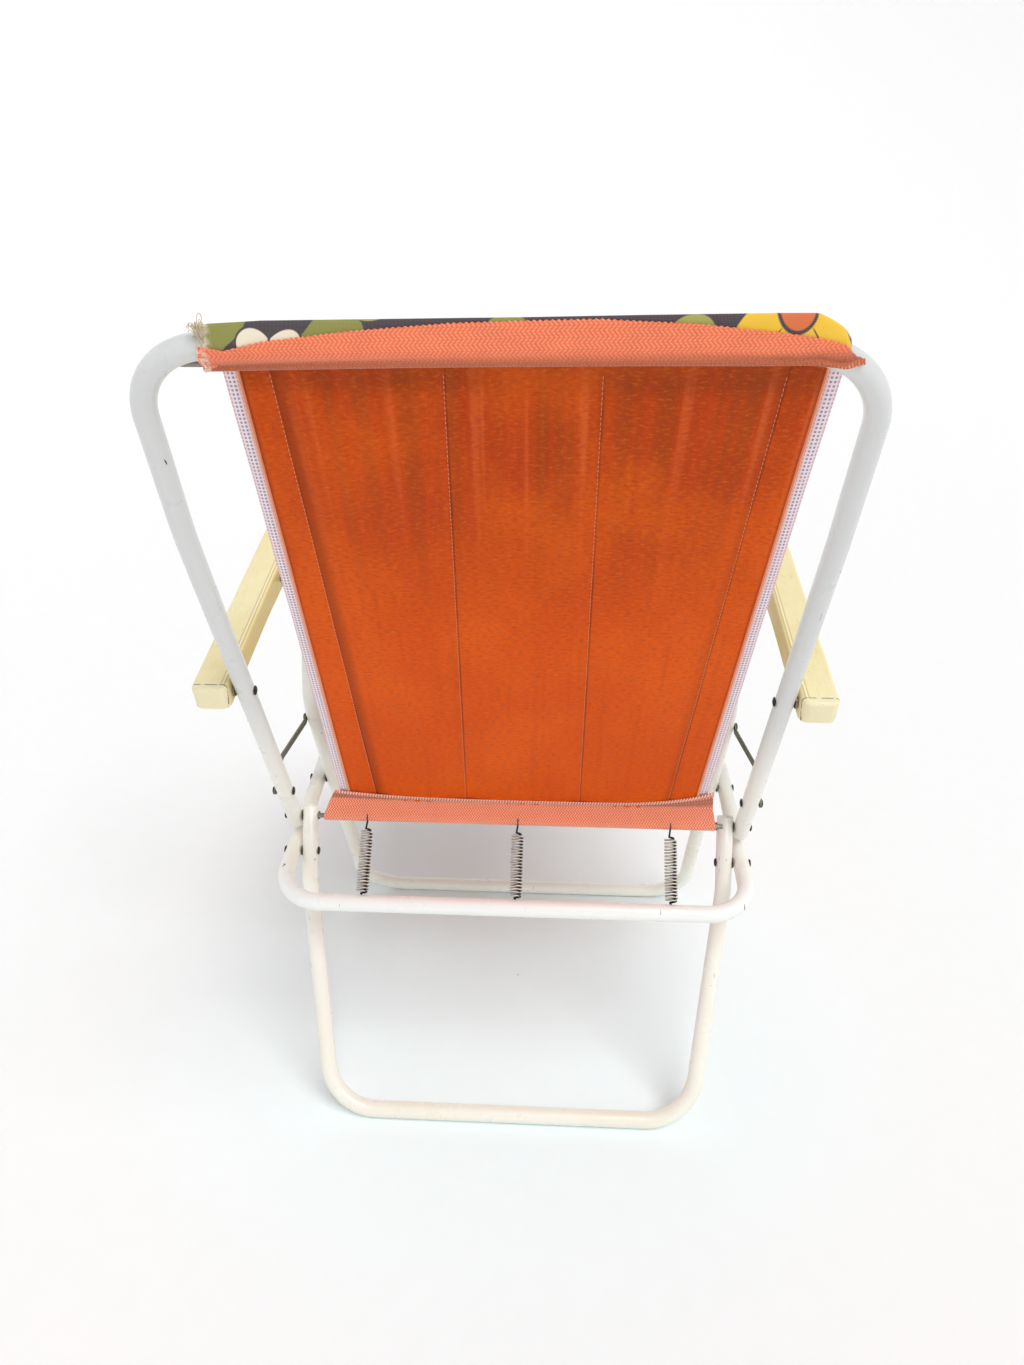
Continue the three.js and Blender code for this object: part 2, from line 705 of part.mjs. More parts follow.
// Seat sling: a sleeve on the front bar and a quilted run back to the hem
const frontBar = onRail(0, -frontBarReach);
const frontSleeveRadius = tubeRadius + seatGap + sleeveThickness;
const seatStart = hemRod.clone();
seatStart.y -= hemRodRadius + hemThickness + 3 * seatGap;
const seatEnd = frontBar.clone();
seatEnd.z += tubeRadius + seatGap + clothThickness / 2 + channelCrown;
const seatRun = {
  from: seatEnd,
  to: seatStart,
  halfWidthAt: () => seatHalfWidth,
  middleAt: (share) => -hemSlip * share,
  rows: seatRows,
};
const frontSleeve = circle(frontSleeveRadius, frontBar);
frontSleeve.holes.push(circle(tubeRadius + seatGap, frontBar));
add('seat_panel', join(panel(seatRun), acrossChair(frontSleeve, insideTape(() => seatHalfWidth)(0))), orangeCloth);
for (const [word, side] of sides) add(`seat_binding_${word}`, tape(side, seatRun), paleTape);

// Springs: straight lead from the hem rod, close coils, straight lead to the rear bar of the seat
class SpringPath extends THREE.Curve {
  constructor(start, length) {
    super();
    const side = across.clone().cross(springAxis);
    const coilStart = springTopLead;
    const coilLength = length - springTopLead - springBottomLead;
    this.points = [];
    const place = (along, radius, turn) => {
      const point = start.clone().addScaledVector(springAxis, along);
      point.addScaledVector(across, radius * Math.cos(2 * Math.PI * turn));
      this.points.push(point.addScaledVector(side, radius * Math.sin(2 * Math.PI * turn)));
    };
    place(0, 0, 0);
    place(springWire, 0, 0);
    for (let k = 1; k < springLeadSteps; k += 1) {
      const share = k / springLeadSteps;
      place(springWire + (coilStart - springWire) * share, springRadius * share, 0);
    }
    const steps = springTurns * springTurnSteps;
    for (let k = 0; k <= steps; k += 1) place(coilStart + coilLength * k / steps, springRadius, k / springTurnSteps);
    for (let k = springLeadSteps - 1; k > 0; k -= 1) {
      const share = k / springLeadSteps;
      place(length - springWire - (springBottomLead - springWire) * share, springRadius * share, 0);
    }
    place(length - springWire, 0, 0);
    place(length, 0, 0);
  }
}

// A wire of few sides along listed points, each ring square to the run, closed at both ends
function wire(points) {
  const positions = [];
  const triangles = [];
  const last = points.length - 1;
  const normal = new THREE.Vector3();
  for (let i = 0; i <= last; i += 1) {
    const heading = points[Math.min(i + 1, last)].clone().sub(points[Math.max(i - 1, 0)]).normalize();
    if (i === 0) normal.crossVectors(heading, across).normalize();
    normal.addScaledVector(heading, -normal.dot(heading)).normalize();
    const binormal = heading.clone().cross(normal);
    for (let k = 0; k < springWireSides; k += 1) {
      const angle = 2 * Math.PI * k / springWireSides;
      const point = points[i].clone().addScaledVector(normal, springWire / 2 * Math.cos(angle));
      point.addScaledVector(binormal, springWire / 2 * Math.sin(angle));
      positions.push(point.x, point.y, point.z);
    }
  }
  for (let i = 0; i < last; i += 1) {
    for (let k = 0; k < springWireSides; k += 1) {
      const a = i * springWireSides + k;
      const b = i * springWireSides + (k + 1) % springWireSides;
      triangles.push(a, b, b + springWireSides, a, b + springWireSides, a + springWireSides);
    }
  }
  const end = last * springWireSides;
  for (let k = 1; k < springWireSides - 1; k += 1) {
    triangles.push(0, k + 1, k, end, end + k, end + k + 1);
  }
  const geometry = new THREE.BufferGeometry();
  geometry.setAttribute('position', new THREE.Float32BufferAttribute(positions, 3));
  geometry.setIndex(triangles);
  geometry.computeVertexNormals();
  return geometry;
}

const springStart = hemRod.clone().addScaledVector(springAxis, hemRodRadius + seatGap);
const springLength = hemRod.distanceTo(rearBar) - hemRodRadius - tubeRadius - 2 * seatGap;
for (const [word, x] of springPlaces) {
  const { points } = new SpringPath(springStart.clone().setX(x), springLength);
  add(`spring_${word}`, wire(points), steel);
}
const coilPitch = (springLength - springTopLead - springBottomLead) / springTurns;
console.log(`least gap between spring curls ${(coilPitch - springWire).toFixed(2)} mm`);

// Stand the chair on its feet, centred over the origin
const box = new THREE.Box3().setFromObject(chair);
const centre = box.getCenter(new THREE.Vector3());
chair.position.set(-centre.x, -centre.y, -box.min.z);

const group = new THREE.Group();
group.add(chair);

export default group;
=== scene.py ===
"""Looks of a folding lawn chair: worn white tubes, a stitched cloth sling on springs, and plastic armrests."""

import json
import math

import bmesh
import bpy
import numpy as np
from bpy.props import FloatProperty, FloatVectorProperty, IntProperty, PointerProperty
from mathutils import Matrix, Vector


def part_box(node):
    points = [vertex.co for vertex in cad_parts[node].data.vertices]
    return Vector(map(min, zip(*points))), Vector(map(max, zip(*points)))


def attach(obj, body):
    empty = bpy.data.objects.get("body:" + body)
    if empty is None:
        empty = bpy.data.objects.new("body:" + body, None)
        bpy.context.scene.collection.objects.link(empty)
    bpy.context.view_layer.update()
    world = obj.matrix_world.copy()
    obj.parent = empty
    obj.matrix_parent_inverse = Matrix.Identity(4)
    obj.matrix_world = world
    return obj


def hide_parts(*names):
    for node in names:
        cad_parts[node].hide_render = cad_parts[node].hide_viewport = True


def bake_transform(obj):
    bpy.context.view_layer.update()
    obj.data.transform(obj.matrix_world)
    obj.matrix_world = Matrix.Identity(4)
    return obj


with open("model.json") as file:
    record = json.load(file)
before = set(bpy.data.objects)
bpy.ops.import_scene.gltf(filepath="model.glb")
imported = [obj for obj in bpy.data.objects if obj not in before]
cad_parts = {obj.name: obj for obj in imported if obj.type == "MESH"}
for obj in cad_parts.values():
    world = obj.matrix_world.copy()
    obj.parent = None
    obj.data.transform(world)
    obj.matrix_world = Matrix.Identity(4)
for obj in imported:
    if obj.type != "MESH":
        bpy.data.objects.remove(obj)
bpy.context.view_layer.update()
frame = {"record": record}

bl_info = {
    "name": "Folding Lawn Chair",
    "version": (1, 0, 0),
    "blender": (4, 5, 0),
    "location": "3D View > Sidebar > Lawn Chair",
    "description": "Dresses the folding lawn chair in paint, cloth, tape, springs and moulded armrests",
    "category": "Add Mesh",
}

MM = 0.001
TAU = 2 * math.pi
SIDES = (("left", 1), ("right", -1))
NEEDLE = 1e-6  # the radius left where a turned or swept form closes

# Side view of the frame: the seat pivot, the lean of the back and front leg, and the slope of the seat rails
SEAT_PIVOT = np.array([0.0, -59.41 * MM, 289 * MM])
LEAN = math.radians(22.3)
RAIL_SLOPE = math.radians(4.94)
ACROSS = np.array([1.0, 0.0, 0.0])
BAR_UP = np.array([0.0, math.sin(LEAN), math.cos(LEAN)])
BAR_BACK = np.array([0.0, math.cos(LEAN), -math.sin(LEAN)])
RAIL_BACK = np.array([0.0, math.cos(RAIL_SLOPE), -math.sin(RAIL_SLOPE)])
RAIL_UP = np.array([0.0, math.sin(RAIL_SLOPE), math.cos(RAIL_SLOPE)])
BACK_SETBACK = 98 * MM

# Half distances between left and right: rails and back, legs, the rear leg's feet, armrests, the links' two planes
RAIL_SPAN, LEG_SPAN, FOOT_SPAN = 268 * MM, 247.8 * MM, 213 * MM
ARM_SPAN = 298.1 * MM
LINK_REAR_SPAN, LINK_FRONT_SPAN = 278.3 * MM, 258.1 * MM

# Rises along the back and the front leg, from the seat pivot
FOOT_PIVOT_RISE, SHOULDER_RISE, TOP_RISE = 69 * MM, 520 * MM, 694 * MM
ARM_REAR_RISE = 312 * MM
ARM_FRONT_SETBACK, ARM_FRONT_RISE = -100 * MM, 274.1 * MM
LINK_REAR_RISE, LINK_FRONT_RISE = 123 * MM, 135 * MM
KNEE_RISE = 165 * MM

# Reaches along the seat rail, from the seat pivot
REAR_BAR, FRONT_BAR, RAIL_JOINT, REAR_LEG_PIN = 218.8 * MM, -236 * MM, -40 * MM, 136.9 * MM
REAR_FOOT = 288.5 * MM

# The back hoop's half width at the top, where its two corners slip sideways, and its bends
HOOP_TOP, HOOP_BEND, SHOULDER_BEND = 263.5 * MM, 62 * MM, 600 * MM
HOOP_LEFT, HOOP_RIGHT = HOOP_TOP - 5 * MM, HOOP_TOP + 1 * MM

# Sling: rises up the back, half widths and sideways slip at its foot and top, and the sewn seams across it
CLOTH_FOOT, CLOTH_TOP = 113 * MM, 676 * MM
CLOTH_HEIGHT = CLOTH_TOP - CLOTH_FOOT
CLOTH_LAP = 8 * MM
FOOT_WIDTH, TOP_WIDTH = 209.5 * MM, 213 * MM
FOOT_SLIP, TOP_SLIP = -7 * MM, -19 * MM
BINDING = 10 * MM
CLOTH_GAP = 0.3 * MM
SEAMS = (-0.86, -0.30, 0.30, 0.86)
SEAM_DRIFT = (-0.03, 0.08, -0.034, 0.046)
TOP_LEFT, TOP_RIGHT = 202.5 * MM, -231.5 * MM
HEM_ROD = SEAT_PIVOT + np.array([0.0, 147 * MM, 49.5 * MM])
HEM_SLIP = -4 * MM
HEM_HALF = 225.8 * MM
CREASE_RISE = 110 * MM
SEAT_HALF, SEAT_SAG = 210 * MM, 5 * MM
SEAT_OVER_BAR = 12.9 * MM
SPRING_PLACES = (("left", 170.9 * MM), ("middle", -3.9 * MM), ("right", -178.7 * MM))

# Printed cloth and tape count their U from half a metre to the right of the chair's middle, the seat its V from 1.3 m
PRINT_SHIFT = 0.5
SEAT_V = 1.3


def hue(code):
    """Linear red, green and blue of a six-digit sRGB code: each share is c / 12.92 when small, and otherwise
    ((c + 0.055) / 1.055) ^ 2.4."""
    shares = np.array([int(code[i:i + 2], 16) for i in (0, 2, 4)]) / 255
    return tuple(np.where(shares <= 0.04045, shares / 12.92, ((shares + 0.055) / 1.055) ** 2.4))


def colour_prop(name, description, code):
    return FloatVectorProperty(name=name, description=description, default=hue(code), subtype="COLOR", size=3,
                               min=0, max=1)


def length_prop(name, description, default):
    return FloatProperty(name=name, description=description, default=default, unit="LENGTH")


class LawnChairFrame(bpy.types.PropertyGroup):
    """Sizes and colours of the tubes, pins and armrests."""

    tube_radius: length_prop("Tube radius", "Outside radius of the steel tube", 9.5 * MM)
    tube_wall: length_prop("Tube wall", "Wall of the steel tube", 1.2 * MM)
    tube_sides: IntProperty(name="Tube sides", description="Points round each tube", default=40, min=12, max=96)
    paint: colour_prop("Paint", "White paint of the tubes", "F4F2EC")
    aged_paint: colour_prop("Aged paint", "Paint near the floor, gone creamy", "EDE8D8")
    chip: colour_prop("Chip", "Dark steel in a paint chip", "4A443E")
    plastic: colour_prop("Armrest plastic", "Moulded plastic of the armrests", "F6EABC")
    steel: colour_prop("Steel", "Weathered zinc of washers and rods", "9A958B")
    dark_steel: colour_prop("Dark steel", "Tarnished steel of the pins", "46413C")


class LawnChairSling(bpy.types.PropertyGroup):
    """Sizes and colours of the cloth, tapes and springs."""

    cloth: colour_prop("Backing cloth", "Orange backing of the sling", "E25400")
    # Painted shade: the darker, redder orange the backing is given towards its top
    backing_painted_shade: colour_prop("Backing shade", "Redder tone of the backing", "C04004")
    tape: colour_prop("Tape", "Salmon tape at the top and the hem", "FA7A4C")
    tape_light: colour_prop("Tape light yarn", "Pale yarn in the salmon tape", "FFCCB0")
    webbing: colour_prop("Webbing", "Pale webbing down the sides", "F3E7EB")
    ground: colour_prop("Print ground", "Dark ground of the printed seat side", "3A2B33")
    leaf: colour_prop("Print leaf", "Olive of the print", "8A8A35")
    petal: colour_prop("Print petal", "Yellow of the print", "F3C318")
    cream: colour_prop("Print cream", "Cream of the print", "F1E6CC")
    blush: colour_prop("Print orange", "Orange of the print", "DD6B2A")
    spring_radius: length_prop("Spring radius", "Middle radius of a spring's coil", 6.3 * MM)
    wire_radius: length_prop("Wire radius", "Radius of the spring wire", 1.12 * MM)
    spring_turns: IntProperty(name="Spring turns", description="Turns of each spring", default=20, min=4, max=60)


# Places on the frame
def on_bars(x, setback, rise):
    """A point beside the seat pivot, setback behind the front leg's line and rise along it."""
    return (SEAT_PIVOT + np.multiply.outer(x, ACROSS) + np.multiply.outer(setback, BAR_BACK)
            + np.multiply.outer(rise, BAR_UP))


def on_back(x, offset, rise):
    """A point at a rise up the back, offset behind the middle plane of the back tube."""
    return on_bars(x, BACK_SETBACK + offset, rise)


def on_rail(x, reach):
    """A point on the seat rail's line, reach behind the seat pivot."""
    return SEAT_PIVOT + np.multiply.outer(x, ACROSS) + np.multiply.outer(reach, RAIL_BACK)


def unit(vectors):
    vectors = np.asarray(vectors, float)
    return vectors / np.linalg.norm(vectors, axis=-1, keepdims=True)


def smooth(t):
    """0 below 0, 1 above 1, and 3t^2 - 2t^3 between."""
    t = np.clip(t, 0, 1)
    return t * t * (3 - 2 * t)


def hump(x, middle, width):
    """A bell of height 1: e to the minus square of the distance over the width."""
    return np.exp(-((x - middle) / width) ** 2)


# Mesh making
def grid_faces(rows, columns, wrap_rows=False, wrap_columns=False):
    """Quads between neighbouring points of a grid, joined round where it wraps."""
    i, j = np.meshgrid(np.arange(rows - (not wrap_rows)), np.arange(columns - (not wrap_columns)), indexing="ij")
    up, right = (i + 1) % rows, (j + 1) % columns
    quads = [i * columns + j, up * columns + j, up * columns + right, i * columns + right]
    return np.stack(quads, -1).reshape(-1, 4)


def mesh_piece(name, points, faces, material, uv=None, sharp=35, closed=True, weld=0.0):
    """A mesh object at the origin, shaded smooth except at edges sharper than the angle given in degrees."""
    mesh = bpy.data.meshes.new(name)
    mesh.from_pydata(np.reshape(points, (-1, 3)).tolist(), [], np.asarray(faces).tolist())
    if uv is not None:
        layer = mesh.uv_layers.new(name="Cloth")
        corners = np.empty(len(mesh.loops), int)
        mesh.loops.foreach_get("vertex_index", corners)
        layer.data.foreach_set("uv", np.asarray(uv, np.float32).reshape(-1, 2)[corners].ravel())
    tidy = bmesh.new()
    tidy.from_mesh(mesh)
    if weld:
        bmesh.ops.remove_doubles(tidy, verts=tidy.verts, dist=weld)
        bmesh.ops.dissolve_degenerate(tidy, edges=tidy.edges, dist=weld)
    if closed:
        bmesh.ops.recalc_face_normals(tidy, faces=tidy.faces)
    tidy.to_mesh(mesh)
    tidy.free()
    mesh.polygons.foreach_set("use_smooth", [True] * len(mesh.polygons))
    mesh.set_sharp_from_angle(angle=math.radians(sharp))
    mesh.materials.append(material)
    return linked(name, mesh)


def linked(name, data):
    """A new object of the data, in the scene."""
    thing = bpy.data.objects.new(name, data)
    bpy.context.scene.collection.objects.link(thing)
    return thing


def sheet_piece(name, outer, inner, u, v, material):
    """A closed sheet between two grids of points: both faces and a strip round the rim. U and V are metres on the
    cloth, the same for both faces."""
    rows, columns = outer.shape[:2]
    count = rows * columns
    face = grid_faces(rows, columns)
    index = np.arange(count).reshape(rows, columns)
    rim = np.concatenate([index[0, :-1], index[:-1, -1], index[-1, :0:-1], index[:0:-1, 0]])
    ahead = np.roll(rim, -1)
    wall = np.stack([rim, ahead, ahead + count, rim + count], -1)
    uv = np.stack(np.broadcast_arrays(u, v), -1).reshape(-1, 2)
    return mesh_piece(name, np.concatenate([outer, inner]), np.concatenate([face, face[:, ::-1] + count, wall]),
                      material, uv=np.concatenate([uv, uv]), sharp=60)


def settle(piece, body, slot, *nodes):
    """The piece moves with the body and stands for the nodes. The slot is not used."""
    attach(piece, body)
    if nodes:
        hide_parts(*nodes)
    return piece


def bent_path(corners, radii, step=math.radians(3)):
    """Straight runs joined by round bends. Each bend is an arc of the radius given that touches both runs: its centre
    lies square to the first run, and a point on it is the centre plus radius * (sin a * before - cos a * inward)."""
    corners = np.asarray(corners, float)
    runs = unit(np.diff(corners, axis=0))
    points, headings = [corners[:1]], [runs[:1]]
    for corner, before, after, radius in zip(corners[1:-1], runs[:-1], runs[1:], radii):
        turn = math.acos(np.clip(before @ after, -1, 1))
        inward = np.cross(unit(np.cross(before, after)), before)
        centre = corner - before * radius * math.tan(turn / 2) + inward * radius
        angle = np.linspace(0, turn, max(3, math.ceil(turn / step) + 1))[:, None]
        points.append(centre + radius * (np.sin(angle) * before - np.cos(angle) * inward))
        headings.append(np.cos(angle) * before + np.sin(angle) * inward)
    return np.concatenate(points + [corners[-1:]]), np.concatenate(headings + [runs[-1:]])


def crosswise_path(centre, start, end, count):
    """A straight path across the chair through the centre, from one X to the other."""
    line = centre + np.multiply.outer(np.linspace(start, end, count), ACROSS)
    return line, np.broadcast_to(math.copysign(1, end - start) * ACROSS, line.shape)


def circles(side, up, sides):
    """Unit circles in the planes of the side and up directions: cos a * side + sin a * up."""
    angle = (TAU * np.arange(sides) / sides)[:, None]
    return np.cos(angle) * side[..., None, :] + np.sin(angle) * up[..., None, :]


def sweep(centres, headings, radii, reference, sides):
    """A circle carried along a path, square to it: centre + radius * (cos a * side + sin a * up), where side is the
    heading crossed with the reference and up is side crossed with the heading."""
    side = unit(np.cross(headings, reference))
    return centres[:, None] + radii[:, None, None] * circles(side, np.cross(side, headings), sides)


def hollow_tube(path, reference, outer, wall, sides, domed=False, spigot=0.0):
    """A tube wall as one closed skin: out along the path at the outer radius and back at the bore's. A domed end
    follows a quarter circle down to a small hole; a spigot is a thinner end that slides into the next tube."""
    points, headings = path
    bore, edge, vent = outer - wall, 0.3 * MM, 3 * MM
    if domed:
        swing = np.linspace(0, math.acos(vent / outer), 9)
        quarter = np.stack([np.sin(swing), np.cos(swing)], -1)
        rim = np.concatenate([outer * quarter, bore * quarter[::-1]])
    elif spigot:
        thin = bore - edge
        rim = np.array([(0, outer - edge), (0, thin), (spigot, thin), (spigot, thin - wall), (0, thin - wall),
                        (-wall, bore)])
    else:
        rim = np.array([(0, outer - edge), (0, bore + edge), (-edge, bore)])
    past, girth = rim[:, :1], rim[:, 1]
    body = points.copy()
    if not domed:
        body[[0, -1]] += edge * headings[[0, -1]] * [[1], [-1]]
    first, last = np.broadcast_to(headings[[0, -1], None], (2, len(rim), 3))
    centres = np.concatenate([body, points[-1] + last * past, points[-2:0:-1], (points[0] - first * past)[::-1]])
    radii = np.concatenate([np.full(len(points), outer), girth, np.full(len(points) - 2, bore), girth[::-1]])
    grid = sweep(centres, np.concatenate([headings, last, headings[-2:0:-1], first]), radii, reference, sides)
    return grid, grid_faces(len(centres), sides, wrap_rows=True, wrap_columns=True)


def rod(path, reference, radius, sides, cap=0.35):
    """A solid round bar with softly rounded ends: rings along the path, closing to a point past each end."""
    points, headings = path
    swing = np.linspace(math.pi / 2, 0, 5)[:-1]
    past, girth = radius * cap * np.sin(swing)[:, None], np.maximum(radius * np.cos(swing), 1e-7)
    first, last = np.broadcast_to(headings[[0, -1], None], (2, len(swing), 3))
    centres = np.concatenate([points[0] - first * past, points, (points[-1] + last * past)[::-1]])
    radii = np.concatenate([girth, np.full(len(points), radius), girth[::-1]])
    grid = sweep(centres, np.concatenate([first, headings, last]), radii, reference, sides)
    return grid, grid_faces(len(centres), sides, wrap_columns=True)


def wire_along(line, radius, sides):
    """A wire along any winding line. Its sideways direction is carried from point to point with the least turn: each
    is the last one less its part along the new heading. The ends close to a point."""
    heading = unit(np.gradient(line, axis=0))
    side = unit(np.cross(heading[0], [0.31, 0.42, 0.85]))
    sideways = [side]
    for direction in heading[1:]:
        side = unit(side - direction * (side @ direction))
        sideways.append(side)
    side = np.array(sideways)
    ring = circles(side, np.cross(side, heading), sides)
    skin = line[:, None] + radius * ring
    first, last = (line[k] + 0.1 * NEEDLE * ring[k] for k in (0, -1))
    points = np.concatenate([first[None], skin, last[None]])
    return points, grid_faces(len(points), sides, wrap_columns=True)


def lathe(profile, centre, sides=28):
    """A profile of (x, radius) pairs turned about a line along X through the centre."""
    x, r = np.array(profile, float).T[:, :, None]
    angle = TAU * np.arange(sides) / sides
    points = np.broadcast_arrays(x, centre[1] + r * np.cos(angle), centre[2] + r * np.sin(angle))
    return np.stack(points, -1), grid_faces(len(x), sides, wrap_columns=True)


def stitches(starts, ends, normal, radius, lift):
    """Many short six-sided threads at once. Each is a low arch from its start to its end: the middle stands off by
    lift times a half sine, and the rings shrink towards both ends."""
    share = np.array([0.0, 0.16, 0.5, 0.84, 1.0])
    girth = np.array([0.15, 0.85, 1.0, 0.85, 0.15])
    along = unit(ends - starts)
    normal = np.broadcast_to(normal, along.shape)
    centre = starts[:, None] + (ends - starts)[:, None] * share[:, None]
    centre = centre + normal[:, None] * (lift * np.sin(math.pi * share))[:, None]
    ring = circles(unit(np.cross(along, normal)), normal, 6)
    points = centre[:, :, None] + radius * girth[:, None, None] * ring[:, None]
    count = 6 * len(share)
    cap = np.array([[0, 1, 2, 5], [2, 3, 4, 5]])
    faces = np.concatenate([grid_faces(len(share), 6, wrap_columns=True), cap, count - 6 + cap[:, ::-1]])
    return points, (faces + count * np.arange(len(starts))[:, None, None]).reshape(-1, 4)


# Finishes
class Finish:
    """One material and a few short ways to add linked nodes to it."""

    def __init__(self, name, roughness=0.6, metallic=0.0, sheen=0.0, coat=0.0, specular=0.5):
        self.material = bpy.data.materials.new(name)
        self.material.use_nodes = True
        self.tree = self.material.node_tree
        self.shader = self.tree.nodes["Principled BSDF"]
        plain = {"Roughness": roughness, "Metallic": metallic, "Sheen Weight": sheen, "Coat Weight": coat,
                 "Specular IOR Level": specular}
        for key, value in plain.items():
            self.shader.inputs[key].default_value = value
        coordinates = self.tree.nodes.new("ShaderNodeTexCoord")
        self.place = coordinates.outputs["Object"]
        self.uv = coordinates.outputs["UV"]

    def feed(self, socket, value):
        if isinstance(value, bpy.types.NodeSocket):
            self.tree.links.new(value, socket)
        elif value is not None:
            plain = value if isinstance(value, (int, float)) else tuple(float(x) for x in value)
            if not isinstance(plain, (int, float)) and socket.type == "RGBA" and len(plain) == 3:
                plain += (1.0,)
            socket.default_value = plain

    def node(self, kind, feeds, **settings):
        node = self.tree.nodes.new(kind)
        for key, value in settings.items():
            setattr(node, key, value)
        for key, value in feeds.items():
            self.feed(node.inputs[key], value)
        return node

    def math(self, operation, a, b=0.0, c=0.0):
        return self.node("ShaderNodeMath", {0: a, 1: b, 2: c}, operation=operation).outputs[0]

    def vector(self, operation, a, b=(0, 0, 0)):
        return self.node("ShaderNodeVectorMath", {0: a, 1: b}, operation=operation).outputs

    def times(self, first, *others):
        """The product of all the values."""
        for other in others:
            first = self.math("MULTIPLY", first, other)
        return first

    def apart(self, value, middle):
        """Distance between a value and a middle."""
        return self.math("ABSOLUTE", self.math("SUBTRACT", value, middle))

    def scaled(self, vector, scale, shift=(0, 0, 0)):
        return self.node("ShaderNodeMapping", {"Vector": vector, "Scale": scale, "Location": shift}).outputs[0]

    def noise(self, vector, scale, detail=2.0, rough=0.5, distortion=0.0):
        feeds = {"Vector": vector, "Scale": scale, "Detail": detail, "Roughness": rough, "Distortion": distortion}
        return self.node("ShaderNodeTexNoise", feeds).outputs[0]

    def split(self, vector):
        return self.node("ShaderNodeSeparateXYZ", {0: vector}).outputs

    def band(self, value, low, high, to_low=0.0, to_high=1.0):
        """From to_low where the value is at low to to_high where it is at high, smoothly between."""
        feeds = {"Value": value, "From Min": low, "From Max": high, "To Min": to_low, "To Max": to_high}
        return self.node("ShaderNodeMapRange", feeds, interpolation_type="SMOOTHSTEP").outputs[0]

    def mix(self, share, a, b):
        """Colour a turned into colour b by the share."""
        node = self.tree.nodes.new("ShaderNodeMix")
        node.data_type = "RGBA"
        self.feed(node.inputs[0], share)
        self.feed(node.inputs[6], a)
        self.feed(node.inputs[7], b)
        return node.outputs[2]

    def tint(self, colour, code, *shares):
        """The colour turned into that of the code by the product of the shares."""
        return self.mix(self.times(*shares), colour, hue(code))

    def wave(self, value, period):
        """A sine of the value, from 0 to 1, with the period given in the value's units."""
        turned = self.math("MULTIPLY", value, TAU / period)
        return self.math("MULTIPLY_ADD", self.math("SINE", turned), 0.5, 0.5)

    def done(self, colour=None, roughness=None, height=None, strength=0.3, distance=0.001, metallic=None):
        self.feed(self.shader.inputs["Base Color"], colour)
        self.feed(self.shader.inputs["Roughness"], roughness)
        self.feed(self.shader.inputs["Metallic"], metallic)
        if height is not None:
            bump = self.node("ShaderNodeBump", {"Height": height, "Strength": strength, "Distance": distance})
            self.feed(self.shader.inputs["Normal"], bump.outputs[0])
        return self.material


def finish_once(name, make, *settings):
    """The material of that name, made the first time it is asked for."""
    return bpy.data.materials.get(name) or make(name, *settings)


def paint_finish(name, look):
    """Old white gloss paint: creamy towards the floor, painted shade that greys it up the back, faint grime, dark
    chips, fine scratches and orange peel."""
    f = Finish(name, roughness=0.34, coat=0.25)
    _, y, z = f.split(f.place)
    age = f.times(f.band(z, 0.62, 0.05), f.band(f.noise(f.place, 9, 3), 0.25, 0.7, 0.45, 1.0))
    colour = f.mix(age, look.paint, look.aged_paint)
    # Painted shade: the tubes turn grey towards the top of the back
    colour = f.tint(colour, "D9DBDA", f.band(z, 0.38, 0.56))
    # The seat's rear loop and the front leg's foot bar catch more light
    colour = f.tint(colour, "F2F4F1", f.band(y, 0.09, 0.14), f.band(z, 0.22, 0.25), f.band(z, 0.36, 0.32))
    colour = f.tint(colour, "F4F7EC", f.band(y, 0.02, -0.05), f.band(z, 0.12, 0.06))
    grime = f.noise(f.scaled(f.place, (1, 1, 0.35)), 55, 5, 0.65)
    colour = f.tint(colour, "C9C3B4", f.band(grime, 0.6, 0.85, 0.0, 0.22))
    chips = f.times(f.band(f.noise(f.place, 190, 3, 0.55, 0.6), 0.7, 0.72), f.band(f.noise(f.place, 14), 0.58, 0.68))
    scratch = f.times(f.band(f.noise(f.scaled(f.place, (1.0, 0.12, 0.12)), 420), 0.735, 0.76),
                      f.band(f.noise(f.place, 22), 0.52, 0.6))
    worn = f.math("MAXIMUM", chips, scratch)
    rough = f.math("MULTIPLY_ADD", worn, 0.3, f.band(f.noise(f.place, 38, 3), 0.3, 0.7, 0.26, 0.42))
    height = f.math("SUBTRACT", f.times(f.noise(f.place, 330), 0.12), worn)
    return f.done(f.mix(worn, colour, look.chip), rough, height, strength=0.35, distance=0.0004)


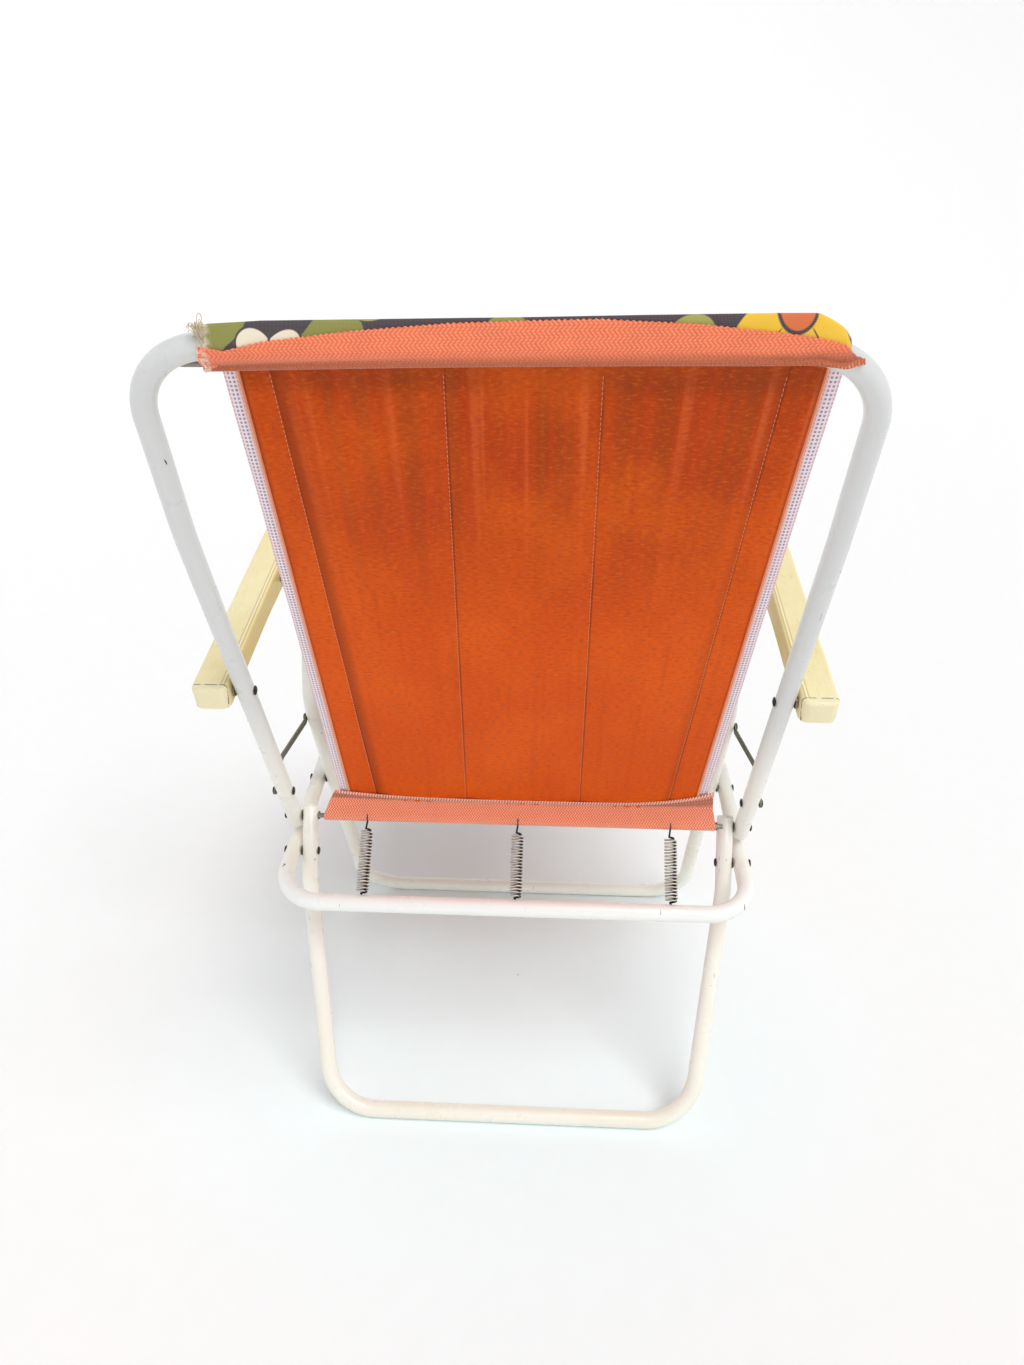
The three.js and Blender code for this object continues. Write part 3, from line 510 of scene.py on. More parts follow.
def plastic_finish(name, look):
    """Moulded plastic gone chalky: soft mottling and streaks on top, a bead along the inner edge with a darker band
    beside it and a painted highlight on its crest, painted shade on the low inner sides, a parting line across the
    rear end, and small pits."""
    f = Finish(name, roughness=0.48)
    x, y, _ = f.split(f.place)
    colour = f.mix(f.band(f.noise(f.place, 16, 4, 0.6), 0.3, 0.72, 0, 0.45), look.plastic, hue("EDD794"))
    streak = f.noise(f.scaled(f.place, (9, 1, 2)), 60, 3, 0.6)
    colour = f.tint(colour, "DABF78", f.band(streak, 0.52, 0.75, 0, 0.3))
    colour = f.tint(colour, "EFE7C2", f.band(y, 0.158, 0.167, 0, 0.8))
    # Painted shade on the low inner side walls, stronger towards the front
    beside = f.math("ABSOLUTE", x)
    colour = f.tint(colour, "E0BC66", f.band(beside, 0.2818, 0.2806), f.band(y, 0.166, 0.15, 0, 0.6))
    bead = f.apart(beside, ARM_SPAN - 13.2 * MM)
    on_top = f.band(y, 0.1652, 0.1638)
    # A darker band either side of the bead, and a painted highlight along its crest
    colour = f.tint(colour, "C9A24E", on_top, f.band(bead, 3.2 * MM, 1.8 * MM, 0, 0.55))
    colour = f.tint(colour, "FFF9DC", on_top, f.band(bead, 1.1 * MM, 0.6 * MM, 0, 0.8))
    parting = f.band(f.apart(y, 0.1645), 0.9 * MM, 0.4 * MM)
    colour = f.tint(colour, "5E5236", parting, f.band(f.noise(f.place, 110), 0.42, 0.52, 0, 0.8))
    pits = f.band(f.noise(f.place, 520), 0.7, 0.76)
    colour = f.tint(colour, "9C8346", pits, 0.55)
    rough = f.band(f.noise(f.place, 45, 3), 0.3, 0.7, 0.4, 0.58)
    height = f.math("SUBTRACT", f.times(f.noise(f.place, 260, 3), 0.3), pits)
    return f.done(colour, rough, height, strength=0.25, distance=0.0004)


def steel_finish(name, colour, rough):
    """Weathered steel: grain along the wire, dull spots and a little brown bloom."""
    f = Finish(name, metallic=0.85)
    bloom = f.band(f.noise(f.place, 120, 4, 0.6), 0.55, 0.78, 0, 0.5)
    tone = f.mix(f.band(f.noise(f.place, 700), 0.35, 0.65, 0, 0.5), colour, tuple(c * 0.55 for c in colour))
    shine = f.math("SUBTRACT", 0.9, f.times(bloom, 0.6))
    return f.done(f.tint(tone, "6B5744", bloom), f.band(f.noise(f.place, 260, 3), 0.3, 0.7, rough, rough + 0.25),
                  f.noise(f.place, 900), 0.25, 0.0003, shine)


def weathered_steel():
    """The steel of washers and rods."""
    return finish_once("weathered_steel", steel_finish, bpy.context.scene.lawn_chair_frame.steel, 0.3)


def spring_finish(name, look):
    """Spring wire with painted light where it faces away from the coil's axis and painted shade between the turns.
    Its U is the distance from the axis."""
    f = Finish(name, metallic=0.2)
    u, _, _ = f.split(f.uv)
    # Painted highlight on the outside of each turn and painted shade towards the axis, between the turns
    outer = f.band(u, look.spring_radius + 0.78 * MM, look.spring_radius + 1.0 * MM)
    light = f.tint(hue("E6E2D6"), "B4AC9C", f.band(f.noise(f.place, 160, 3), 0.4, 0.7))
    rough = f.band(f.noise(f.place, 260, 3), 0.3, 0.7, 0.3, 0.5)
    return f.done(f.mix(outer, hue("26221E"), light), rough, f.noise(f.place, 900), 0.25, 0.0003)


def cloth_finish(name, look):
    """Coated orange backing. U is the share of the half width and V the rise. Fine crosswise slubs over a close
    weave, painted shade and light of soft upright folds that deepen towards the top, painted shade darkening the
    top and in a line under the top tape, painted shade in the seam grooves, and a salmon border along both edges."""
    f = Finish(name, roughness=0.55, specular=0.15)
    u, v, _ = f.split(f.uv)
    slub = f.noise(f.scaled(f.uv, (36, 430, 1)), 1, 3, 0.6)
    fine = f.noise(f.scaled(f.uv, (85, 1400, 1)), 1)
    # Painted shade: the backing darkens towards its top
    colour = f.mix(f.band(v, 0.36, 0.62, 0.05, 0.9), look.cloth, look.backing_painted_shade)
    # Painted shade in the hollows of the soft upright folds and painted light on their ridges, stronger towards the
    # top
    fold = f.noise(f.scaled(f.uv, (12, 0.9, 1)), 1, 2, 0.55)
    colour = f.tint(colour, "A84408", f.band(fold, 0.47, 0.6), f.band(v, 0.40, 0.66, 0.0, 0.75))
    colour = f.tint(colour, "E8703A", f.band(fold, 0.46, 0.34), f.band(v, 0.40, 0.66, 0.0, 0.5))
    # Painted shadow in a line along the backing under the top tape
    colour = f.tint(colour, "8E3A0C", f.band(v, 0.652, 0.672), 0.55)
    # Painted shade in the groove of each seam
    for seam in SEAMS:
        colour = f.tint(colour, "8C3208", f.band(f.apart(u, seam), 0.0062, 0.0022), 0.8)
    cloud = f.noise(f.scaled(f.uv, (1.6, 7, 1)), 1, 3)
    colour = f.tint(colour, "EE6404", f.band(cloud, 0.38, 0.66, 0, 0.55))
    upright = f.noise(f.scaled(f.uv, (16, 2.2, 1)), 1, 4, 0.6)
    colour = f.tint(colour, "C84408", f.band(upright, 0.5, 0.75, 0, 0.4))
    colour = f.tint(colour, "F07824", f.band(slub, 0.5, 0.7, 0, 0.42), f.band(fine, 0.35, 0.6, 0.5, 1.0))
    colour = f.tint(colour, "A83604", f.band(slub, 0.5, 0.33, 0, 0.42))
    # Painted shade of a deeper fold beside each outer seam, from its soft far side to its sharp side at the seam
    fold_shades = ((SEAMS[-1], -0.075, -0.008, 0.004, -0.002, 0.6, "8E3206"),
             (SEAMS[0], 0.06, 0.006, -0.004, 0.002, 0.3, "9A3A08"))
    for seam, far, near, past, at, share, code in fold_shades:
        colour = f.tint(colour, code, f.band(u, seam + far, seam + near), f.band(u, seam + past, seam + at), share)
    border = f.math("ABSOLUTE", u)
    colour = f.tint(colour, "9A3808", f.band(border, 0.976, 0.988, 0, 0.5))
    colour = f.tint(colour, "FFB492", f.band(border, 0.990, 0.994))
    weave = f.times(f.wave(u, 0.0055), f.wave(v, 0.0009))
    height = f.math("MULTIPLY_ADD", slub, 1.2, f.math("MULTIPLY_ADD", weave, 0.5, f.times(fine, 0.5)))
    return f.done(colour, f.band(slub, 0.3, 0.7, 0.42, 0.62), height, strength=0.6, distance=0.0008)


def tape_finish(name, look, pale, at_top):
    """Salmon tape with a herringbone of pale yarn: slanted ribs that turn back every few millimetres. The hem's tape
    has a row of needle holes along its upper edge. The top's has painted shade that darkens it to brown towards
    its foot, where it rolls under, pale flecks along the very foot, partly yarn and partly painted highlight, and a
    frayed left end."""
    f = Finish(name, roughness=0.78, sheen=0.25)
    u, v, _ = f.split(f.uv)
    rib = f.wave(f.math("ADD", u, f.math("PINGPONG", v, 3.4 * MM)), 3.2 * MM)
    cross = f.wave(v, 1.7 * MM)
    colour = f.tint(look.tape, "E66E46", f.band(f.noise(f.uv, 60, 3, 0.6), 0.3, 0.7, 0, 0.5))
    yarn = f.times(f.band(rib, 0.4, 0.85), f.band(cross, 0.2, 0.8, 0.3 * pale, pale))
    colour = f.tint(f.mix(yarn, colour, look.tape_light), "B8533A", f.band(rib, 0.3, 0.05, 0, 0.5 * pale))
    if at_top:
        # Painted shade browns the tape towards its foot; its pale flecks are partly yarn, partly painted highlight
        yarn_fleck_and_highlight = f.times(f.wave(u, 2.4 * MM), f.band(f.noise(f.uv, 900, 1), 0.4, 0.6))
        foot = f.tint(hue("AC5834"), "F0B090", f.band(yarn_fleck_and_highlight, 0.35, 0.7), f.band(v, 1.2 * MM, 3.4 * MM, 0.85, 0.15))
        colour = f.mix(f.band(v, 14.5 * MM, 6.5 * MM, 0, 0.85), colour, foot)
        colour = f.tint(colour, "F0D9C6", f.band(u, 0.694, 0.701), f.band(f.noise(f.uv, 320, 3, 0.6), 0.45, 0.58))
    else:
        colour = f.tint(colour, "6E3A2C", f.band(v, 6.8 * MM, 5.2 * MM), f.band(v, 1.2 * MM, 3 * MM), 0.55)
    return f.done(colour, None, f.math("MULTIPLY_ADD", cross, 0.5, rib), strength=0.5, distance=0.0006)


def webbing_finish(name, look):
    """Pale ribbed webbing: a small check of lilac and pink yarn with pinkish borders."""
    f = Finish(name, roughness=0.8, sheen=0.2)
    u, v, _ = f.split(f.uv)
    warp, weft = f.wave(u, 2.9 * MM), f.wave(v, 3.4 * MM)
    colour = f.tint(look.webbing, "9F8AA8", f.band(warp, 0.25, 0.6), f.band(weft, 0.25, 0.6))
    colour = f.tint(colour, "EEC4C6", f.band(f.noise(f.uv, 90, 3), 0.45, 0.7, 0, 0.35))
    colour = f.tint(colour, "F0C3C2", f.band(f.apart(u, BINDING / 2), 3.2 * MM, 4.2 * MM), 0.6)
    return f.done(colour, None, f.math("MULTIPLY_ADD", warp, 0.6, weft), strength=0.5, distance=0.0005)


def thread_finish(name, code):
    """Twisted sewing thread: light and dark plies."""
    f = Finish(name, roughness=0.7)
    ply = f.noise(f.place, 2400, 1)
    dark = tuple(c * 0.6 for c in hue(code))
    return f.done(f.mix(f.band(ply, 0.35, 0.65, 0, 0.5), hue(code), dark), None, ply, 0.3, 0.0002)


def print_finish(name, look):
    """Generic large print on the seat side: round-petalled rosettes and leaf blobs scattered on a dark ground.
    Each scattered point draws rings by distance, with its petals as a sine of the turn about it and its colour drawn
    from the point's own number."""
    f = Finish(name, roughness=0.72, sheen=0.2)
    wobble = f.node("ShaderNodeTexNoise", {"Vector": f.uv, "Scale": 14.0, "Detail": 1.0}).outputs[1]
    spot = f.vector("ADD", f.uv, f.vector("MULTIPLY", wobble, (0.016, 0.016, 0))[0])[0]

    def scatter(scale, offset):
        """Distance to the nearest scattered point, the turn about it and its numbers."""
        moved = f.scaled(spot, (1, 1, 1), (offset, offset * 0.7, 0))
        feeds = {"Vector": moved, "Scale": scale, "Randomness": 0.75}
        cell = f.node("ShaderNodeTexVoronoi", feeds, voronoi_dimensions="2D")
        nearest = cell.outputs["Position"]
        away = f.vector("SUBTRACT", f.scaled(moved, (scale,) * 3), f.scaled(nearest, (scale,) * 3))[0]
        across, along, _ = f.split(away)
        return cell.outputs["Distance"], f.math("ARCTAN2", along, across), f.split(cell.outputs["Color"])

    far, turn, number = scatter(15.0, 0.31)
    edge = f.math("MULTIPLY_ADD", f.math("SINE", f.times(turn, 2.0)), 0.1, 0.36)
    leaf = f.tint(look.leaf, "A4A24A", f.band(number[0], 0.4, 0.6))
    colour = f.mix(f.band(f.math("SUBTRACT", edge, far), -0.004, 0.012), look.ground, leaf)
    far, turn, number = scatter(8.5, 0.0)
    petals = f.math("ABSOLUTE", f.math("SINE", f.times(turn, 4.0)))
    inside = f.math("SUBTRACT", f.math("MULTIPLY_ADD", petals, 0.1, 0.27), far)
    tone = f.mix(f.band(number[1], 0.45, 0.5), look.petal, look.cream)
    tone = f.mix(f.band(number[2], 0.7, 0.75), tone, look.blush)
    bloom = f.mix(f.band(inside, 0.012, 0.024), look.ground, tone)
    bloom = f.mix(f.times(f.band(petals, 0.16, 0.06, 0, 0.9), f.band(far, 0.1, 0.14)), bloom, look.ground)
    bloom = f.mix(f.band(far, 0.118, 0.108), bloom, look.ground)
    bloom = f.mix(f.band(far, 0.1, 0.09), bloom, look.blush)
    colour = f.mix(f.band(inside, -0.004, 0.004), colour, bloom)
    u, v, _ = f.split(f.uv)
    colour = f.tint(colour, "F4E6DA", f.band(u, 0.692, 0.7005), f.band(f.noise(f.uv, 260, 3, 0.6), 0.35, 0.55))
    weave = f.times(f.wave(u, 0.9 * MM), f.wave(v, 0.9 * MM))
    colour = f.tint(colour, "FFFFFF", weave, 0.12)
    return f.done(colour, None, f.math("ADD", weave, f.noise(f.uv, 300)), strength=0.3, distance=0.0005)


# Frame
def make_tubes(look):
    """The five bent tubes on the frame's own centre lines."""
    paint = finish_once("worn_white_paint", paint_finish, look)

    def tube(name, body, node, path, reference, **ends):
        skin = hollow_tube(path, reference, look.tube_radius, look.tube_wall, look.tube_sides, **ends)
        settle(mesh_piece(name, *skin, paint, sharp=50), body, "white_tube", node)

    def loop(half, bend):
        """A path along one half's corners and back along their mirror image, with every bend the same."""
        half = np.array(half)
        return bent_path(np.concatenate([half, (half * [-1, 1, 1])[::-1]]), [bend] * (2 * len(half) - 2))

    foot_rise = FOOT_PIVOT_RISE - 12 * MM
    corners = [(RAIL_SPAN, foot_rise), (RAIL_SPAN, SHOULDER_RISE), (HOOP_LEFT, TOP_RISE),
               (-HOOP_RIGHT, TOP_RISE), (-RAIL_SPAN, SHOULDER_RISE), (-RAIL_SPAN, foot_rise)]
    bends = [SHOULDER_BEND, HOOP_BEND, HOOP_BEND, SHOULDER_BEND]
    hoop = bent_path([on_back(x, 0, rise) for x, rise in corners], bends)
    tube("back_hoop", "back", "back_frame", hoop, BAR_BACK, domed=True)
    seat_bend, leg_bend = 50 * MM, 60 * MM
    rear_loop = loop([on_rail(RAIL_SPAN, RAIL_JOINT), on_rail(RAIL_SPAN, REAR_BAR)], seat_bend)
    tube("seat_rear_tube", "seat", "seat_rear_loop", rear_loop, RAIL_UP)
    front_loop = loop([on_rail(RAIL_SPAN, RAIL_JOINT - 0.3 * MM), on_rail(RAIL_SPAN, FRONT_BAR)], seat_bend)
    tube("seat_front_tube", "seat", "seat_front_loop", front_loop, RAIL_UP, spigot=28 * MM)
    knee, pin = on_bars(LEG_SPAN, 0, KNEE_RISE), on_bars(LEG_SPAN, ARM_FRONT_SETBACK, ARM_FRONT_RISE)
    foot = on_bars(LEG_SPAN, 0, -(SEAT_PIVOT[2] - look.tube_radius) / math.cos(LEAN))
    front_leg = loop([pin + unit(pin - knee) * 10 * MM, knee, foot], leg_bend)
    tube("front_leg_tube", "front_leg", "front_leg", front_leg, BAR_BACK)
    rear_pin, foot_pin = on_rail(LEG_SPAN, REAR_LEG_PIN), on_back(LEG_SPAN, 0, FOOT_PIVOT_RISE)
    down = unit(rear_pin - foot_pin)
    foot = np.array([FOOT_SPAN, SEAT_PIVOT[1] + REAR_FOOT, look.tube_radius])
    rear_leg = loop([foot_pin - down * 12 * MM, rear_pin + down * 35 * MM, foot], leg_bend)
    tube("rear_leg_tube", "rear_leg", "rear_leg", rear_leg, np.cross(ACROSS, down))


def make_pins(look):
    """Rivets with domed heads, and washers with rounded rims, each in the span of the part it stands for. A head is a
    quarter ellipse of its radius and its rise, turned about the pin's axis."""
    dark = finish_once("tarnished_steel", steel_finish, look.dark_steel, 0.38)
    head, rise, shank, bore = 5 * MM, 1.8 * MM, 2.4 * MM, 2.7 * MM
    swing = np.linspace(math.pi / 2, 0.12, 7)[1:]
    dome = np.stack([rise * (1 - np.sin(swing)), head * np.cos(swing)], -1)
    headed = np.array([(0, NEEDLE), *dome, (rise, head), (rise, shank)])
    plain = np.array([(0, NEEDLE), (0, shank)])
    body_of = {node: name for name, nodes in frame["record"]["behaviour"]["bodies"].items() for node in nodes}
    # A pin's two ends, from the middle of the chair outwards
    pins = {"front_leg_rivet": (headed, headed), "rear_leg_rivet": (headed, headed),
            "back_foot_rivet": (headed, headed), "link_front_rivet": (headed, headed),
            "link_rear_rivet": (headed, plain), "link_rear_stud": (plain, headed),
            "armrest_rear_rivet": (headed, headed), "armrest_front_pin": (headed, plain),
            "armrest_front_stud": (plain, headed)}
    washers = ("front_leg_washer", "rear_leg_washer", "back_foot_washer", "armrest_rear_washer",
               "armrest_front_spacer")
    for side, sign in SIDES:
        for kind, (near, far) in pins.items():
            box = np.array(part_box(f"{kind}_{side}"))
            start, end = sorted(sign * box[:, 0])
            profile = np.concatenate([near + [start, 0], (far * [-1, 1] + [end, 0])[::-1]]) * [sign, 1]
            piece = mesh_piece(f"{kind}_round_{side}", *lathe(profile, box.mean(0)), dark, weld=1e-5)
            settle(piece, body_of[f"{kind}_{side}"], "dark_steel", f"{kind}_{side}")
        for kind in washers:
            box = np.array(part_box(f"{kind}_{side}"))
            (start, end), outer = box[:, 0], (box[1, 2] - box[0, 2]) / 2
            edge = min(0.25 * MM, (end - start) / 4)
            profile = [(start, bore), (start, outer - edge), (start + edge, outer), (end - edge, outer),
                       (end, outer - edge), (end, bore), (start, bore)]
            piece = mesh_piece(f"{kind}_round_{side}", *lathe(profile, box.mean(0)), weathered_steel(), weld=1e-6)
            settle(piece, body_of[f"{kind}_{side}"], "bare_steel", f"{kind}_{side}")


def pill_shell(profile, half_wide, half_long, radius, corner_steps, side_steps):
    """A shell whose rings are rectangles with round corners, one ring for each (inset, height) of the profile and
    shrunk by its inset: four quarter arcs, with points spread along the long sides."""
    rings = []
    for inset, height in profile:
        a, b = half_wide - inset, half_long - inset
        r = max(min(radius - inset, a, b), 0.0)
        side = np.linspace(b - r, r - b, side_steps + 2)[1:-1]
        ring = []
        for k, (across, along) in enumerate(((1, 1), (-1, 1), (-1, -1), (1, -1))):
            angle = np.linspace(0, math.pi / 2, corner_steps + 1) + k * math.pi / 2
            ring.append(np.stack([across * (a - r) + r * np.cos(angle), along * (b - r) + r * np.sin(angle)], -1))
            if k % 2:
                ring.append(np.stack([np.full(side_steps, across * a), -across * side], -1))
        ring = np.concatenate(ring)
        rings.append(np.column_stack([ring, np.full(len(ring), height)]))
    return np.array(rings), grid_faces(len(rings), len(rings[0]), wrap_columns=True)


def make_links():
    """Flat link bars with round ends and softened edges, set over from the rear pin's plane to the front pin's on a
    straight slant between a flat end at each pin."""
    steel = finish_once("link_steel", steel_finish, hue("8A8B7C"), 0.42)
    rear, front = on_back(0, 0, LINK_REAR_RISE), on_bars(0, 0, LINK_FRONT_RISE)
    length = np.linalg.norm(front - rear)
    forward = unit(front - rear)
    square = np.cross(forward, ACROSS)
    thick, half, edge, ease = 2 * MM, 5 * MM, 0.35 * MM, 0.1 * MM
    inset = np.array([half, 3 * MM, edge, ease, 0])
    height = np.array([0, 0, 0, ease, edge])
    profile = zip((*inset, *inset[::-1]), (*height, *(thick - height)[::-1]))
    rings, faces = pill_shell(profile, half, length / 2 + half, half, 8, 60)
    along = rings[..., 1] + length / 2
    flat_rear, flat_front = 44 * MM, 6 * MM
    slant = np.clip((along - flat_rear) / (length - flat_rear - flat_front), 0, 1)
    points = rear + along[..., None] * forward + rings[..., :1] * square
    for side, sign in SIDES:
        points[..., 0] = sign * (LINK_REAR_SPAN - (LINK_REAR_SPAN - LINK_FRONT_SPAN) * slant + rings[..., 2])
        settle(mesh_piece(f"link_bar_{side}", points, faces, steel, weld=1e-5), "links", "bare_steel", f"link_{side}")


def make_armrests(look):
    """Moulded channels, open below: a crowned top with a rolled edge, thin side walls that are deeper in front, and a
    bead along the inner edge. The top's height falls away from its middle by a square law."""
    plastic = finish_once("cream_plastic", plastic_finish, look)
    pin, front = on_back(0, 0, ARM_REAR_RISE), on_bars(0, ARM_FRONT_SETBACK, ARM_FRONT_RISE)
    slope = math.atan2(front[2] - pin[2], pin[1] - front[1])
    half_wide, half_long, top, wall, corner = 18 * MM, 185 * MM, 16 * MM, 3 * MM, 9 * MM
    pin_reach, low, roll, ease = 20 * MM, -9 * MM, 3.5 * MM, 0.5 * MM
    turn = np.linspace(0, math.pi / 2, 7)
    profile = [(inset * MM, top) for inset in (18, 14, 9, 6.5, 5.2, 4.3)]
    profile += list(zip(roll * (1 - np.sin(turn)), top - roll * (1 - np.cos(turn))))
    profile += [(0.0, wall), (0.0, low + ease), (ease, low), (wall - ease, low), (wall, low + ease)]
    profile += [(wall, top - wall - 1.5 * MM), (wall + 1.5 * MM, top - wall), (10 * MM, top - wall),
                (half_wide, top - wall)]
    rings, faces = pill_shell(profile, half_wide, half_long, corner, 10, 40)
    across, along, height = np.moveaxis(rings, -1, 0)
    crown = 0.5 * MM * np.clip(1 - (across / half_wide) ** 2, 0, 1)
    bead = 0.6 * MM * hump(across, -13.2 * MM, 0.9 * MM)
    lifted = height + np.where(height > top - 0.6 * MM, crown + bead, 0)
    side_top = top - 6 * MM
    deepen = 6 * MM * smooth((60 * MM - along) / (150 * MM)) * (side_top - height) / (19 * MM)
    lifted -= np.where(height < side_top, deepen, 0)
    # From the armrest's own frame to its place: the pin near the rear end, then turned by the slope
    reach = along + pin_reach - half_long
    y = pin[1] + reach * math.cos(slope) + lifted * math.sin(slope)
    z = pin[2] - reach * math.sin(slope) + lifted * math.cos(slope)
    for side, sign in SIDES:
        points = np.stack([sign * (ARM_SPAN + across), y, z], -1)
        piece = mesh_piece(f"armrest_channel_{side}", points, faces, plastic, weld=1e-5)
        settle(piece, "armrests", "armrest_plastic", f"armrest_{side}")


# Back of the sling
def cloth_middle(rise):
    """Sideways place of the cloth's middle, and its half width, in straight lines from foot to top."""
    share = (rise - CLOTH_FOOT) / CLOTH_HEIGHT
    return FOOT_SLIP + (TOP_SLIP - FOOT_SLIP) * share, FOOT_WIDTH + (TOP_WIDTH - FOOT_WIDTH) * share


def cloth_x(share, rise):
    """Sideways place of a share of the cloth's width: the middle plus the share of the half width. The share drifts
    with height, in proportion to the rise above the middle of the back, so that the seams lean as they were sewn."""
    middle, half = cloth_middle(rise)
    height = (rise - CLOTH_FOOT) / CLOTH_HEIGHT - 0.5
    drift = np.interp(share, (-1, *SEAMS, 1), (0, *SEAM_DRIFT, 0)) * height
    return middle + (share + drift) * (half - BINDING - CLOTH_GAP)


def cloth_relief(share, rise):
    """How far the backing stands off its plane: channels between seams bulge as a sine, each seam is a groove, and
    upright creases, a sum of three sines across, fade from the top down."""
    knots = np.array((-1.0, *SEAMS, 1.0))
    k = np.clip(np.searchsorted(knots, share, side="right") - 1, 0, len(knots) - 2)
    width = knots[k + 1] - knots[k]
    phase = (share - knots[k]) / width
    relief = 1.5 * MM * np.clip(width / 0.55, 0.35, 1) * np.sin(math.pi * phase) ** 0.8
    for seam in SEAMS:
        relief -= 0.55 * MM * hump(share, seam, 0.006)
    top = 0.25 * smooth((rise - 0.25) / 0.3) + 0.75 * smooth((rise - 0.52) / 0.16)
    crease = 0.7 * np.sin(share * 67 + 0.4) + 0.6 * np.sin(share * 91 + 2.0) + 0.3 * np.sin(share * 133 + 5.1)
    relief += 1.15 * MM * crease * top * (0.35 + 0.65 * smooth((share + 0.45) / 0.9))
    relief += 0.22 * MM * np.sin(share * 83 + 1.0) * smooth((0.30 - rise) / 0.16)
    relief += 0.25 * MM * np.sin(rise * 34 + share * 3) * np.sin(share * 5)
    return np.maximum(relief, -0.9 * MM)


def make_back(look):
    """Back of the sling: the orange backing with sewn channels, the printed seat side, the seams' thread, and the
    webbing down each side with its salmon edge line."""
    cloth = finish_once("orange_backing", cloth_finish, look)
    printed = finish_once("printed_cloth", print_finish, look)
    s, r = np.meshgrid(np.linspace(-1, 1, 281), np.linspace(CLOTH_FOOT, CLOTH_TOP + CLOTH_LAP, 121))
    x, relief = cloth_x(s, r), cloth_relief(s, r)
    rear, inner = on_back(x, 2.1 * MM + relief, r), on_back(x, 1.0 * MM + relief, r)
    backing = sheet_piece("back_backing", rear, inner, s, r, cloth)
    x, r, relief = x[:, ::2], r[:, ::2], relief[:, ::2]
    front, inner = on_back(x, -0.9 * MM - relief, r), on_back(x, 0.1 * MM - relief, r)
    face = sheet_piece("back_print", front, inner, x + PRINT_SHIFT, r, printed)
    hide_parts("back_panel")
    threads = seam_thread()
    pieces = [backing, face, threads]
    for side, sign in SIDES:
        tape, trim = side_webbing(side, sign, look)
        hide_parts(f"back_binding_{side}")
        pieces += [tape, trim]
    for piece in pieces:
        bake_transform(piece)


def seam_thread():
    """Running stitches down each seam of the back, a little off the groove."""
    stitch, pitch, beside = 3.1 * MM, 4.2 * MM, 0.005
    share, rise = np.meshgrid(np.add(SEAMS, beside), np.arange(CLOTH_FOOT + 8 * MM, CLOTH_TOP - 4 * MM, pitch))
    starts, ends = (on_back(cloth_x(share, at), 2.2 * MM + cloth_relief(share, at), at).reshape(-1, 3)
                    for at in (rise, rise + stitch))
    material = finish_once("light_thread", thread_finish, "EFA27E")
    piece = mesh_piece("seam_thread", *stitches(starts, ends, BAR_BACK, 0.28 * MM, 0.25 * MM), material)
    return piece


def side_webbing(side, sign, look):
    """One side's webbing, a flat ribbon that bows as a half sine and curls in waves towards its outer edge, and the
    thin salmon edge between it and the backing."""
    webbing = finish_once("checked_webbing", webbing_finish, look)
    rises = np.linspace(CLOTH_FOOT, CLOTH_TOP + CLOTH_LAP, 141)
    a, r = np.meshgrid(np.linspace(0, BINDING, 11), rises)
    middle, half = cloth_middle(r)
    x = middle + sign * (half - BINDING + a)
    curl = 0.5 * MM * (a / BINDING) ** 2 * np.sin(r * 41) + 0.9 * MM * np.sin(math.pi * a / BINDING)
    rear, front = on_back(x, 0.9 * MM + curl, r), on_back(x, -0.9 * MM + curl * 0.2, r)
    tape = sheet_piece(f"side_webbing_{side}", rear, front, a, r, webbing)
    middle, half = cloth_middle(rises)
    line = on_back(middle + sign * (half - BINDING - 0.4 * MM), 2.9 * MM, rises)
    salmon = finish_once("edge_thread", thread_finish, "FFB08E")
    skin = rod((line, np.broadcast_to(BAR_UP, line.shape)), ACROSS, 0.8 * MM, 8)
    trim = mesh_piece(f"edge_cord_{side}", *skin, salmon, weld=1e-6)
    return tape, trim


# Top of the sling
def ridge_height(x):
    """Height of the loose fold over the top bar, along the chair: it grows from left to right and ends steeply."""
    return MM * np.interp(x / MM, (-234, -226, -207, -181, -92, -14, 32, 159, 197),
                          (3.0, 9.5, 15.2, 15.0, 13.2, 11.2, 10.4, 7.9, 5.2))


def tape_edge(x):
    """Height of the tape's pinked upper edge over the bar's line."""
    return MM * np.interp(x / MM, (-236, -228, -209, -183, -131, -66, -14, 32, 98, 160, 186, 197),
                          (4, 8.5, 12.5, 15.5, 20, 22, 20.5, 19, 14.5, 8, 3, 5))


def tape_foot(x):
    """Height of the tape's lower edge over the bar's line, which is below it all along."""
    return -MM * np.interp(x / MM, (-236, -180, -68, 68, 180, 203), (5.0, 8.2, 10.5, 13.5, 16.5, 17.5))


def bar_drop(x):
    """How far the hoop's bend has brought its centre line below the top: radius less the square root of the radius
    squared less the distance past the bend's start squared."""
    past = np.clip(np.abs(x) - (HOOP_TOP - HOOP_BEND), 0, 0.95 * HOOP_BEND)
    return HOOP_BEND - np.sqrt(HOOP_BEND ** 2 - past ** 2)


def top_outline(x, turn, grow):
    """Side-view outline of the cloth over the top bar and its rod at a place across the chair, as how far it lies
    behind and above the bar's line. It is the bar's circle below and behind, stretched down to the rod by a power of
    the sine and lifted into a soft ridge on top by its cube."""
    ridge, radius = ridge_height(x), 9.8 * MM + grow
    bulk = np.clip(ridge / (10 * MM), 0, 1)
    above, below = np.clip(np.sin(turn), 0, 1), np.clip(-np.sin(turn), 0, 1)
    up = radius * np.sin(turn) + ridge * above ** 3 + (tape_foot(x) + 8.4 * MM) * below ** 1.5 - bar_drop(x)
    back = radius * np.cos(turn) * (1 - 0.30 * bulk * above ** 3) * (1 - 0.52 * below ** 2)
    return back, up


